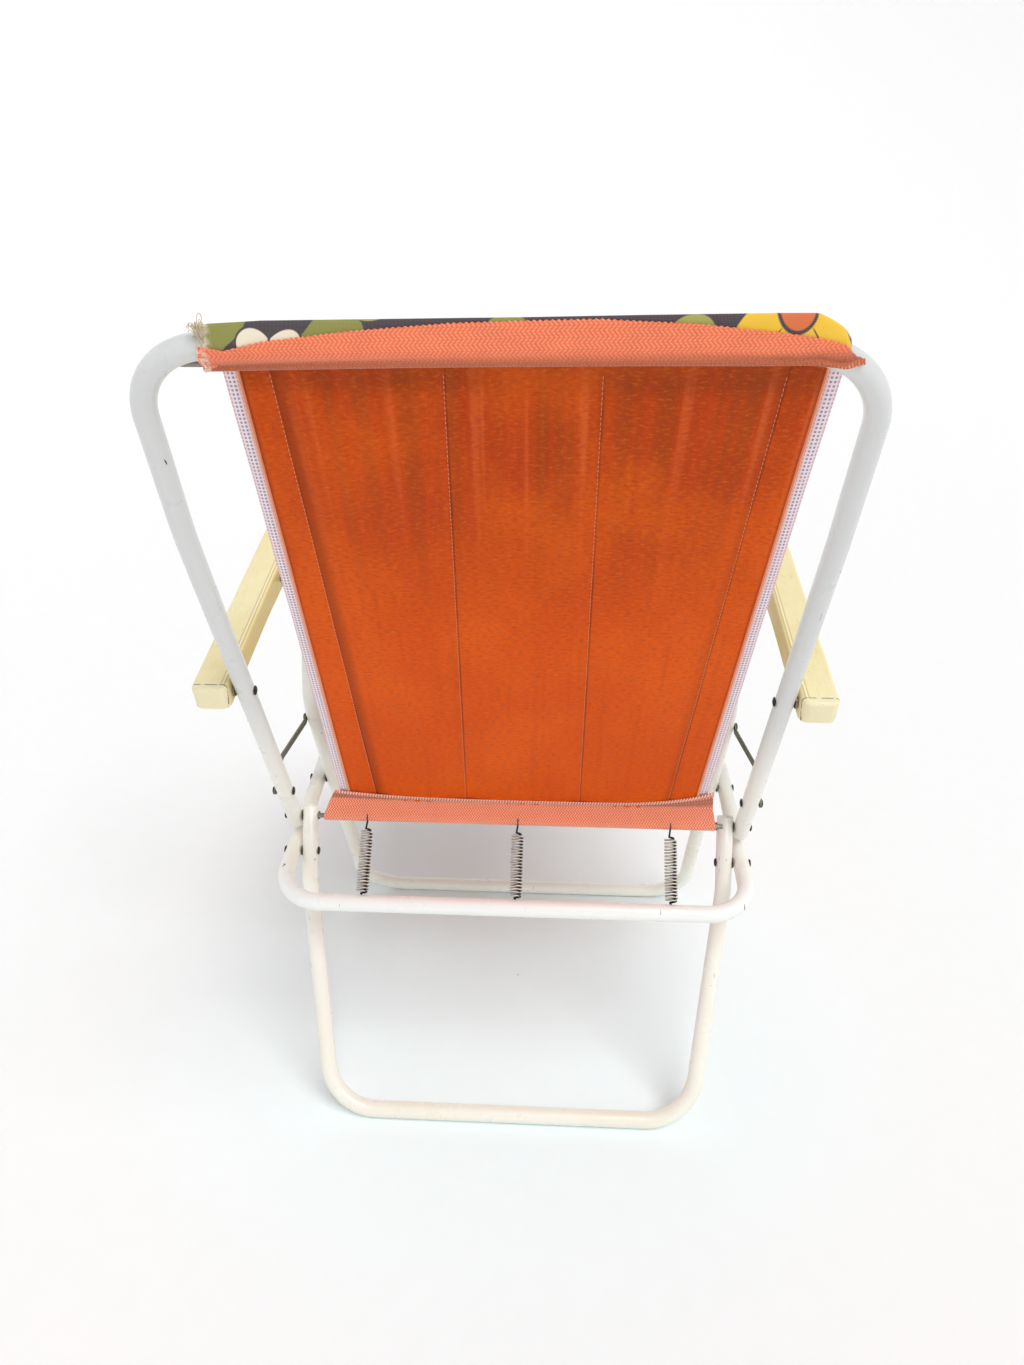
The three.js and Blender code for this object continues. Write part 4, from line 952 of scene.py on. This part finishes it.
def tape_depth(xs, height):
    """How far behind the bar's middle the tape lies at a height: the outline's depth where its own height is that. It
    is worked out on some columns at every half millimetre of height, and drawn in straight lines between them."""
    every = 20
    lines = np.linspace(-19 * MM, 24 * MM, 87)
    back, up = top_outline(xs[::every, None], np.radians(np.linspace(-88, 86, 160)), 0.9 * MM)
    table = np.array([np.interp(lines, *column) for column in zip(up, back)])
    place = np.arange(len(xs)) / every
    low = place.astype(int)
    part = (place - low)[:, None]
    table = table[low] * (1 - part) + table[np.minimum(low + 1, len(table) - 1)] * part
    return np.stack([np.interp(column, lines, depths) for column, depths in zip(height.T, table)], -1)


def make_top(look):
    """Top of the sling: the print drawn over the bar, the salmon tape behind it with its rolled left end, the thin
    rod, and a few frayed threads."""
    tape = finish_once("top_tape", tape_finish, look, 0.32, True)
    face = top_print(look)
    strip = top_tape(tape)
    half, radius = 230.5 * MM, 2.4 * MM
    path = crosswise_path(on_back(0, -1.4 * MM, TOP_RISE - 14.5 * MM), half, -half, 24)
    bar = mesh_piece("top_thin_rod", *rod(path, BAR_BACK, radius, 16), weathered_steel(), weld=1e-6)
    settle(bar, "back", "bare_steel", "top_rod")
    roll, frays = rolled_end(tape), frayed_threads()


def top_print(look):
    """The print from the front of the sling, up over the ridge and down behind: rows go round the bar's outline,
    columns across the chair."""
    xs = np.linspace(TOP_LEFT, TOP_RIGHT, 201)
    x, turn = np.meshgrid(xs, np.radians(np.linspace(240, 8, 61)))
    outer, inner = (on_back(x, back, TOP_RISE + up)
                    for back, up in (top_outline(x, turn, grow) for grow in (0.9 * MM, 0.1 * MM)))
    v = CLOTH_TOP + path_length(outer[:, 100])
    printed = finish_once("printed_cloth", print_finish, look)
    face = sheet_piece("top_print", outer, inner, x + PRINT_SHIFT, v[:, None], printed)
    return settle(face, "back", "salmon_tape", "top_sleeve")


def path_length(line):
    """Distance of each point of a line from its start, along the line."""
    return np.concatenate([[0], np.cumsum(np.linalg.norm(np.diff(line, axis=0), axis=1))])


def top_tape(material):
    """The tape behind the bar, from the rod up to its pinked edge. Its rows climb in equal shares from foot to edge,
    its teeth are a triangle wave, its foot rolls out as a bell, and its right end narrows to a tip."""
    columns, thick = 661, 0.9 * MM
    xs = np.linspace(TOP_LEFT + 1 * MM, TOP_RIGHT - 10.5 * MM, columns)
    share = np.linspace(0, 1, columns)
    level = np.linspace(0, 1, 33)[:, None]
    teeth = 0.9 * MM * np.abs((np.arange(columns) / 3.0) % 2 - 1) * smooth((share - 0.03) / 0.05)
    foot, tip = tape_foot(xs), smooth((share - 0.965) / 0.035)
    height = foot + (tape_edge(xs) + teeth - foot) * level
    height += (-0.5 * MM - 0.3 * bar_drop(xs) - height) * 0.72 * tip - bar_drop(xs) * 0.15 * (1 - tip)
    fold = 0.35 * MM * np.sin(xs * 260 + 6 * level) * np.sin(math.pi * level) * (0.3 + hump(share, 0.97, 0.05) * 2)
    low_roll = 1.9 * MM * hump(level, 0.14, 0.12) - 1.0 * MM * hump(level, 0.36, 0.08)
    depth = tape_depth(xs, height) + (1.8 + 2.6 * smooth((share - 0.93) / 0.05)) * MM + fold + low_roll * (1 - tip)
    under = 3.0 * MM
    back = under + (depth - under) * np.sqrt(np.clip(level / 0.11, 0, 1))
    x = np.broadcast_to(xs, height.shape)
    rear, front = on_back(x, back, TOP_RISE + height), on_back(x, back - thick, TOP_RISE + height)
    strip = sheet_piece("top_tape_strip", rear, front, x + PRINT_SHIFT, height - foot, material)
    return settle(strip, "back", "salmon_tape")


def rolled_end(material):
    """The tape's left end, rolled round the rod: a short bunched tube whose girth shrinks along it and waves as two
    sines of the turn and the place along."""
    a, t = np.meshgrid(TAU * np.arange(40) / 40, np.linspace(0, 1, 25))
    girth = 8.6 * MM * (1 - 0.18 * t) + 0.7 * MM * np.sin(3 * a + 7 * t) + 0.5 * MM * np.sin(7 * a - 11 * t)
    x = TOP_LEFT + 2.5 * MM - 22 * MM * t + 0.8 * MM * np.sin(4 * a)
    behind, rise, bore = 2.2 * MM, TOP_RISE - 7.5 * MM, 0.86
    outer = on_back(x, behind + 0.85 * girth * np.cos(a), rise + 1.15 * girth * np.sin(a))
    centre = on_back(x, behind, rise)
    grid = np.concatenate([outer, (centre + (outer - centre) * bore)[::-1]])
    uv = np.stack([x + PRINT_SHIFT, 12 * MM + girth * a / 3], -1)
    faces = grid_faces(len(grid), grid.shape[1], wrap_rows=True, wrap_columns=True)
    piece = mesh_piece("rolled_tape_end", grid, faces, material, uv=np.concatenate([uv, uv[::-1]]), sharp=60)
    return settle(piece, "back", "salmon_tape")


def frayed_threads():
    """Loose threads at the cloth's top left corner: thin curls that leave the cloth on a sine and turn back down."""
    pale = finish_once("frayed_thread", thread_finish, "D9C9A8")
    draw = np.random.default_rng(7)
    share, threads, thread_radius = np.linspace(0, 1, 12), 26, 0.28 * MM
    skins = []
    for _ in range(threads):
        start = on_back(TOP_LEFT - 1 * MM - 6 * MM * draw.random(), (3 + 6 * draw.random()) * MM,
                        TOP_RISE + (2 + 12 * draw.random()) * MM)
        reach = (5 + 9 * draw.random()) * MM
        lean = draw.uniform(-0.2, 1.0)
        rise = 0.9 * np.sin(share * 2.4) * (1.2 - lean * 0.5)
        line = start + reach * np.stack([lean * share, 0.35 * np.sin(share * draw.uniform(2, 5)), rise], -1)
        skins.append(rod((line, unit(np.gradient(line, axis=0))), np.array([0.3, 0.9, 0.2]), thread_radius, 6))
    points, faces = zip(*skins)
    start = np.arange(len(skins))[:, None, None] * points[0][..., 0].size
    faces = (np.array(faces) + start).reshape(-1, 4)
    return settle(mesh_piece("frayed_threads", np.array(points), faces, pale, weld=1e-7), "back", "salmon_tape")


# Seat and hem of the sling
def make_seat(look):
    """Seat of the sling: the printed top and the orange underside, sagging as a half sine between the front bar and
    the hem, with the sleeve round the front bar and webbing down each side."""
    cloth = finish_once("orange_backing", cloth_finish, look)
    printed = finish_once("printed_cloth", print_finish, look)
    webbing = finish_once("checked_webbing", webbing_finish, look)
    bar = on_rail(0, FRONT_BAR)
    front, rear = bar + np.array([0, 0, SEAT_OVER_BAR]), HEM_ROD + np.array([0, -7.2 * MM, 0.6 * MM])
    run = rear - front
    length = float(np.linalg.norm(run))
    square = np.cross(ACROSS, unit(run))
    half = SEAT_HALF - BINDING - CLOTH_GAP

    def seat_face(x, t, lift):
        """Points of one face: t of the run from front to rear, x across, lifted square to the run."""
        return front + t[..., None] * run + x[..., None] * ACROSS + lift[..., None] * square

    levels = np.linspace(0, 1, 61)
    s, t = np.meshgrid(np.linspace(-1, 1, 161), levels)
    x = HEM_SLIP * t + s * half
    sag = -SEAT_SAG * np.sin(math.pi * t) * (1 - 0.5 * s ** 2)
    relief = 0.8 * cloth_relief(s, 0.2 + 0.2 * t)
    u, v = x + PRINT_SHIFT, SEAT_V + t * length
    upper, lower = (seat_face(x, t, sag + lift * MM + relief) for lift in (1.3, 0.2))
    top = sheet_piece("seat_print", upper, lower, u, v, printed)
    upper, lower = (seat_face(x, t, sag - lift * MM - relief) for lift in (0.2, 1.3))
    under = sheet_piece("seat_backing", upper, lower, u, v, cloth)
    settle(top, "seat", "orange_cloth", "seat_panel")
    settle(under, "seat", "orange_cloth")
    turn, x = np.meshgrid(np.radians(np.linspace(88, -262, 73)), np.linspace(-half, half, 81), indexing="ij")
    outer, inner = (bar + np.stack([x, -radius * np.cos(turn), radius * np.sin(turn)], -1)
                    for radius in (11.2 * MM, 9.9 * MM))
    v = SEAT_V - (turn[0, 0] - turn) * 10.9 * MM
    sleeve = sheet_piece("seat_front_sleeve", outer, inner, x + PRINT_SHIFT, v, printed)
    settle(sleeve, "seat", "orange_cloth")
    a, t = np.meshgrid(np.linspace(0, BINDING, 9), levels)
    lift = 0.8 * MM * np.sin(math.pi * a / BINDING) - SEAT_SAG * np.sin(math.pi * t) * 0.5
    for side, sign in SIDES:
        x = HEM_SLIP * t + sign * (SEAT_HALF - BINDING + a)
        upper, lower = (seat_face(x, t, lift + off) for off in (0.8 * MM, -1.0 * MM))
        tape = sheet_piece(f"seat_webbing_{side}", upper, lower, a, t * length, webbing)
        settle(tape, "seat", "pale_webbing", f"seat_binding_{side}")


def hem_top(x):
    """Rise of the hem tape's upper edge on the back. It climbs towards its ends: a cube to the sitter's left, a fifth
    power to the right."""
    climb = 13 * MM * (np.maximum(x, 0) / 0.21) ** 3 + 21 * MM * (np.maximum(-x, 0) / 0.21) ** 5
    return CREASE_RISE + 10.5 * MM + climb


def hem_x(sides, level):
    """Places across the hem tape, whose ends slant in with the level by the cube of the share of the half width."""
    slant = np.where(sides > 0, 15 * MM, 7 * MM) * level * np.abs(sides) ** 3
    return HEM_SLIP + sides * HEM_HALF - np.sign(sides) * slant


def make_hem(look):
    """Hem: the salmon tape from its looped upper edge on the back, over the crease and round the rod, with its
    overlock loops, and the steel rod."""
    tape = finish_once("hem_tape", tape_finish, look, 1.0, False)
    pale = finish_once("loop_thread", thread_finish, "FFE2D2")
    sides, thick = np.linspace(1, -1, 241), 0.9 * MM
    crease = on_back(0, 0, CREASE_RISE)
    run = unit(HEM_ROD - crease)
    square = np.cross(ACROSS, run)
    # Flat on the back, from the upper edge down to the crease
    level = np.linspace(1, 0, 9)[:, None]
    x = hem_x(sides, 0.4 + 0.6 * level)
    foot = CREASE_RISE + 3 * MM
    rise, lift = foot + (hem_top(x) - foot) * level, np.broadcast_to(4.1 * MM - 0.6 * MM * (1 - level), x.shape)
    outer, inner = [on_back(x, lift, rise)], [on_back(x, lift - thick, rise)]
    # Straight from the crease to the rod, lifting off to the rod's outside
    level = np.linspace(0.12, 1, 9)[:, None]
    x = hem_x(sides, 0.4 * (1 - level))
    off, rod_outside = 3.2 * MM, 5.2 * MM
    base = crease + level[..., None] * (HEM_ROD - crease) + x[..., None] * ACROSS
    lift = (off + (rod_outside - off) * level)[..., None]
    outer.append(base + lift * square)
    inner.append(base + (lift - thick) * square)
    # Round the rod
    turn = np.radians(np.linspace(0, 235, 14))[1:, None, None]
    arm = np.cos(turn) * square + np.sin(turn) * run
    centre = HEM_ROD + x[-1][:, None] * ACROSS
    outer.append(centre + rod_outside * arm)
    inner.append(centre + (rod_outside - thick) * arm)
    outer, inner = np.concatenate(outer), np.concatenate(inner)
    v = path_length(outer[:, len(sides) // 2])
    strip = sheet_piece("hem_tape_strip", outer, inner, outer[..., 0] + PRINT_SHIFT, v[:, None], tape)
    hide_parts("hem_strip")
    # Overlock loops: slanted threads over the tape's upper edge
    pitch = 3.2 * MM
    xs = np.arange(HEM_SLIP + 206 * MM, HEM_SLIP - 218 * MM, -pitch)
    low = on_back(xs + 1.0 * MM, np.full_like(xs, 4.3 * MM), hem_top(xs) - 5.0 * MM)
    high = on_back(xs - 0.6 * MM, np.full_like(xs, 4.2 * MM), hem_top(xs) + 1.5 * MM)
    loops = mesh_piece("hem_overlock", *stitches(low, high, BAR_BACK, 0.8 * MM, 0.8 * MM), pale)
    for piece in (strip, loops):
        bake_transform(piece)
    low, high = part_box("hem_rod")
    radius = 2.9 * MM
    skin = rod(crosswise_path(HEM_ROD, high[0], low[0], 24), BAR_BACK, radius, 18)
    settle(mesh_piece("hem_steel_rod", *skin, weathered_steel(), weld=1e-6), "seat", "bare_steel", "hem_rod")


def make_springs(look):
    """Three coil springs: a hook round the hem rod, a short shank, the turns, whose first and last shrink to the
    axis, and a tail into the rear bar of the seat. A turn is centre + radius * (cos a, sin a) carried along the axis."""
    steel = finish_once("spring_steel", spring_finish, look)
    bar = on_rail(0, REAR_BAR)
    axis, reach = unit(bar - HEM_ROD), float(np.linalg.norm(bar - HEM_ROD))
    square = np.cross(ACROSS, axis)
    coil_start, coil_end = 13.5 * MM, reach - 11.0 * MM
    share = np.linspace(0, 1, look.spring_turns * 20 + 1)
    spin = TAU * look.spring_turns * share
    taper = np.minimum(1, np.minimum(share * 0.8, (1 - share) * 1.2) * look.spring_turns + 0.2)
    girth = look.spring_radius * taper
    coil = np.stack([girth * np.cos(spin), coil_start + (coil_end - coil_start) * share, girth * np.sin(spin)], -1)
    bow, hook_radius = np.radians(np.linspace(215, 12, 20)), 4.4 * MM
    hook = hook_radius * np.stack([0 * bow, np.cos(bow), np.sin(bow)], -1)
    shank = np.array([[0.2, 6.5, 0.7], [0.6, 9.0, 0.4], [1.0, 11.6, 0.1]]) * MM
    tail = np.array([[0.6 * MM, reach - 10.0 * MM, 0], [0.2 * MM, reach - 8.0 * MM, 0]])
    line = HEM_ROD + np.concatenate([hook, shank, coil, tail]) @ np.array([ACROSS, axis, square])
    for side, x in SPRING_PLACES:
        points, faces = wire_along(line + x * ACROSS, look.wire_radius, 10)
        # U is the distance from the coil's axis, which places the spring finish's painted light and shade
        away = points - HEM_ROD - x * ACROSS
        down = away @ axis
        uv = np.stack([np.linalg.norm(away - down[..., None] * axis, axis=-1), down], -1)
        piece = mesh_piece(f"coil_spring_{side}", points, faces, steel, uv=uv, sharp=60)
        settle(piece, "seat", "bare_steel", f"spring_{side}")


# Stage
def make_stage():
    """Pale floor that runs out flat and then rises as a square law to the horizon, soft light from two sides and all
    round, and the camera."""
    f = Finish("pale_floor", roughness=0.9, specular=0.1)
    near = f.vector("LENGTH", f.scaled(f.place, (1, 1, 1), (0, -0.1, 0)))["Value"]
    # Painted cool tint near the chair, cancelling the orange light the cloth bounces onto the floor
    pale = f.mix(f.band(near, 0.62, 0.1), (0.94, 0.94, 0.94), (0.87, 0.975, 0.99))
    material = f.done(f.mix(f.band(f.noise(f.place, 30, 3), 0.3, 0.7, 0, 0.1), pale, (0.88, 0.88, 0.88)))
    sides, flat, horizon, steepness = 96, 3.4, 14, 0.09
    rings = np.concatenate([[0.001], np.linspace(1, horizon, 60)])
    turn, reach = np.meshgrid(TAU * np.arange(sides) / sides, rings)
    bowl = np.stack([reach * np.cos(turn), reach * np.sin(turn), steepness * np.maximum(reach - flat, 0) ** 2], -1)
    faces = grid_faces(*turn.shape, wrap_columns=True)[:, ::-1]
    mesh_piece("floor", bowl, faces, material, closed=False)
    scene = bpy.context.scene
    scene.world = bpy.data.worlds.new("studio")
    scene.world.use_nodes = True
    background = scene.world.node_tree.nodes["Background"]
    background.inputs["Color"].default_value = (1.0, 1.0, 1.0, 1)
    background.inputs["Strength"].default_value = 0.37
    for name, place, power in (("window_light", (-0.8, 0.85, 1.9), 1.9), ("front_light", (0.4, -1.6, 1.4), 0.1)):
        lamp = bpy.data.lights.new(name, "SUN")
        lamp.energy, lamp.angle = power, math.radians(40)
        back = unit(place)
        right = unit(np.cross([0, 0, 1], back))
        linked(name, lamp).matrix_world = matrix_of(right, np.cross(back, right), back, place)
    scene.view_settings.view_transform = "Standard"
    add_camera()


def matrix_of(right, up, back, place):
    """A matrix with the three directions as its axes, at the place."""
    return Matrix([*np.column_stack([right, up, back, place]).tolist(), [0, 0, 0, 1]])


def add_camera():
    """Camera behind and above the chair, looking down at its back: 29 degrees down, a hair turned and rolled."""
    pitch, yaw, roll = 0.50615, -0.05039, -0.00274
    forward = -np.array([math.sin(yaw) * math.cos(pitch), math.cos(yaw) * math.cos(pitch), math.sin(pitch)])
    right = np.array([-math.cos(yaw), math.sin(yaw), 0.0])
    up = np.cross(right, forward)
    right, up = math.cos(roll) * right + math.sin(roll) * up, math.cos(roll) * up - math.sin(roll) * right
    data = bpy.data.cameras.new("camera")
    data.sensor_fit = "VERTICAL"
    data.sensor_height = 36.0
    focal, picture_height = 931.43, 1365
    data.lens = data.sensor_height * focal / picture_height
    data.clip_start, data.clip_end = 0.05, 60
    camera = linked("camera", data)
    camera.matrix_world = matrix_of(right, up, -forward, (-0.0409, 0.95157, 1.0008))
    bpy.context.scene.camera = camera


class LAWNCHAIR_OT_stage(bpy.types.Operator):
    """Adds the floor, the lights and the camera"""

    bl_idname = "lawnchair.stage"
    bl_label = "Stage"

    def execute(self, context):
        make_stage()
        return {"FINISHED"}


class LAWNCHAIR_OT_tubes(bpy.types.Operator):
    """Adds the five bent tubes"""

    bl_idname = "lawnchair.tubes"
    bl_label = "Tubes"

    def execute(self, context):
        make_tubes(context.scene.lawn_chair_frame)
        return {"FINISHED"}


class LAWNCHAIR_OT_pins(bpy.types.Operator):
    """Adds the rivets, pins and washers"""

    bl_idname = "lawnchair.pins"
    bl_label = "Pins and washers"

    def execute(self, context):
        make_pins(context.scene.lawn_chair_frame)
        return {"FINISHED"}


class LAWNCHAIR_OT_links(bpy.types.Operator):
    """Adds the two flat link bars"""

    bl_idname = "lawnchair.links"
    bl_label = "Links"

    def execute(self, context):
        make_links()
        return {"FINISHED"}


class LAWNCHAIR_OT_armrests(bpy.types.Operator):
    """Adds the two moulded armrests"""

    bl_idname = "lawnchair.armrests"
    bl_label = "Armrests"

    def execute(self, context):
        make_armrests(context.scene.lawn_chair_frame)
        return {"FINISHED"}


class LAWNCHAIR_OT_back(bpy.types.Operator):
    """Adds the back of the sling with its seams and webbing"""

    bl_idname = "lawnchair.back"
    bl_label = "Back cloth"

    def execute(self, context):
        make_back(context.scene.lawn_chair_sling)
        return {"FINISHED"}


class LAWNCHAIR_OT_top(bpy.types.Operator):
    """Adds the top of the sling, its tape and its thin rod"""

    bl_idname = "lawnchair.top"
    bl_label = "Top of the sling"

    def execute(self, context):
        make_top(context.scene.lawn_chair_sling)
        return {"FINISHED"}


class LAWNCHAIR_OT_seat(bpy.types.Operator):
    """Adds the seat of the sling with its front sleeve and webbing"""

    bl_idname = "lawnchair.seat"
    bl_label = "Seat cloth"

    def execute(self, context):
        make_seat(context.scene.lawn_chair_sling)
        return {"FINISHED"}


class LAWNCHAIR_OT_hem(bpy.types.Operator):
    """Adds the hem tape, its overlock loops and its rod"""

    bl_idname = "lawnchair.hem"
    bl_label = "Hem"

    def execute(self, context):
        make_hem(context.scene.lawn_chair_sling)
        return {"FINISHED"}


class LAWNCHAIR_OT_springs(bpy.types.Operator):
    """Adds the three coil springs"""

    bl_idname = "lawnchair.springs"
    bl_label = "Springs"

    def execute(self, context):
        make_springs(context.scene.lawn_chair_sling)
        return {"FINISHED"}


class LAWNCHAIR_PT_parts(bpy.types.Panel):
    """Lists the chair's operators and its sizes and colours"""

    bl_idname = "LAWNCHAIR_PT_parts"
    bl_label = "Lawn Chair"
    bl_space_type = "VIEW_3D"
    bl_region_type = "UI"
    bl_category = "Lawn Chair"

    def draw(self, context):
        for kind in PARTS:
            self.layout.operator(kind.bl_idname)
        for group in (context.scene.lawn_chair_frame, context.scene.lawn_chair_sling):
            for name in group.__annotations__:
                self.layout.prop(group, name)


PARTS = (LAWNCHAIR_OT_stage, LAWNCHAIR_OT_tubes, LAWNCHAIR_OT_pins, LAWNCHAIR_OT_links, LAWNCHAIR_OT_armrests,
         LAWNCHAIR_OT_back, LAWNCHAIR_OT_top, LAWNCHAIR_OT_seat, LAWNCHAIR_OT_hem, LAWNCHAIR_OT_springs)
CLASSES = (LawnChairFrame, LawnChairSling, *PARTS, LAWNCHAIR_PT_parts)


def register():
    for kind in CLASSES:
        bpy.utils.register_class(kind)
    bpy.types.Scene.lawn_chair_frame = PointerProperty(type=LawnChairFrame)
    bpy.types.Scene.lawn_chair_sling = PointerProperty(type=LawnChairSling)


def unregister():
    del bpy.types.Scene.lawn_chair_sling
    del bpy.types.Scene.lawn_chair_frame
    for kind in reversed(CLASSES):
        bpy.utils.unregister_class(kind)


def main():
    """Registers the add-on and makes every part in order."""
    register()
    bpy.ops.lawnchair.stage()
    bpy.ops.lawnchair.tubes()
    bpy.ops.lawnchair.pins()
    bpy.ops.lawnchair.links()
    bpy.ops.lawnchair.armrests()
    bpy.ops.lawnchair.back()
    bpy.ops.lawnchair.top()
    bpy.ops.lawnchair.seat()
    bpy.ops.lawnchair.hem()
    bpy.ops.lawnchair.springs()


if __name__ == "__main__":
    main()
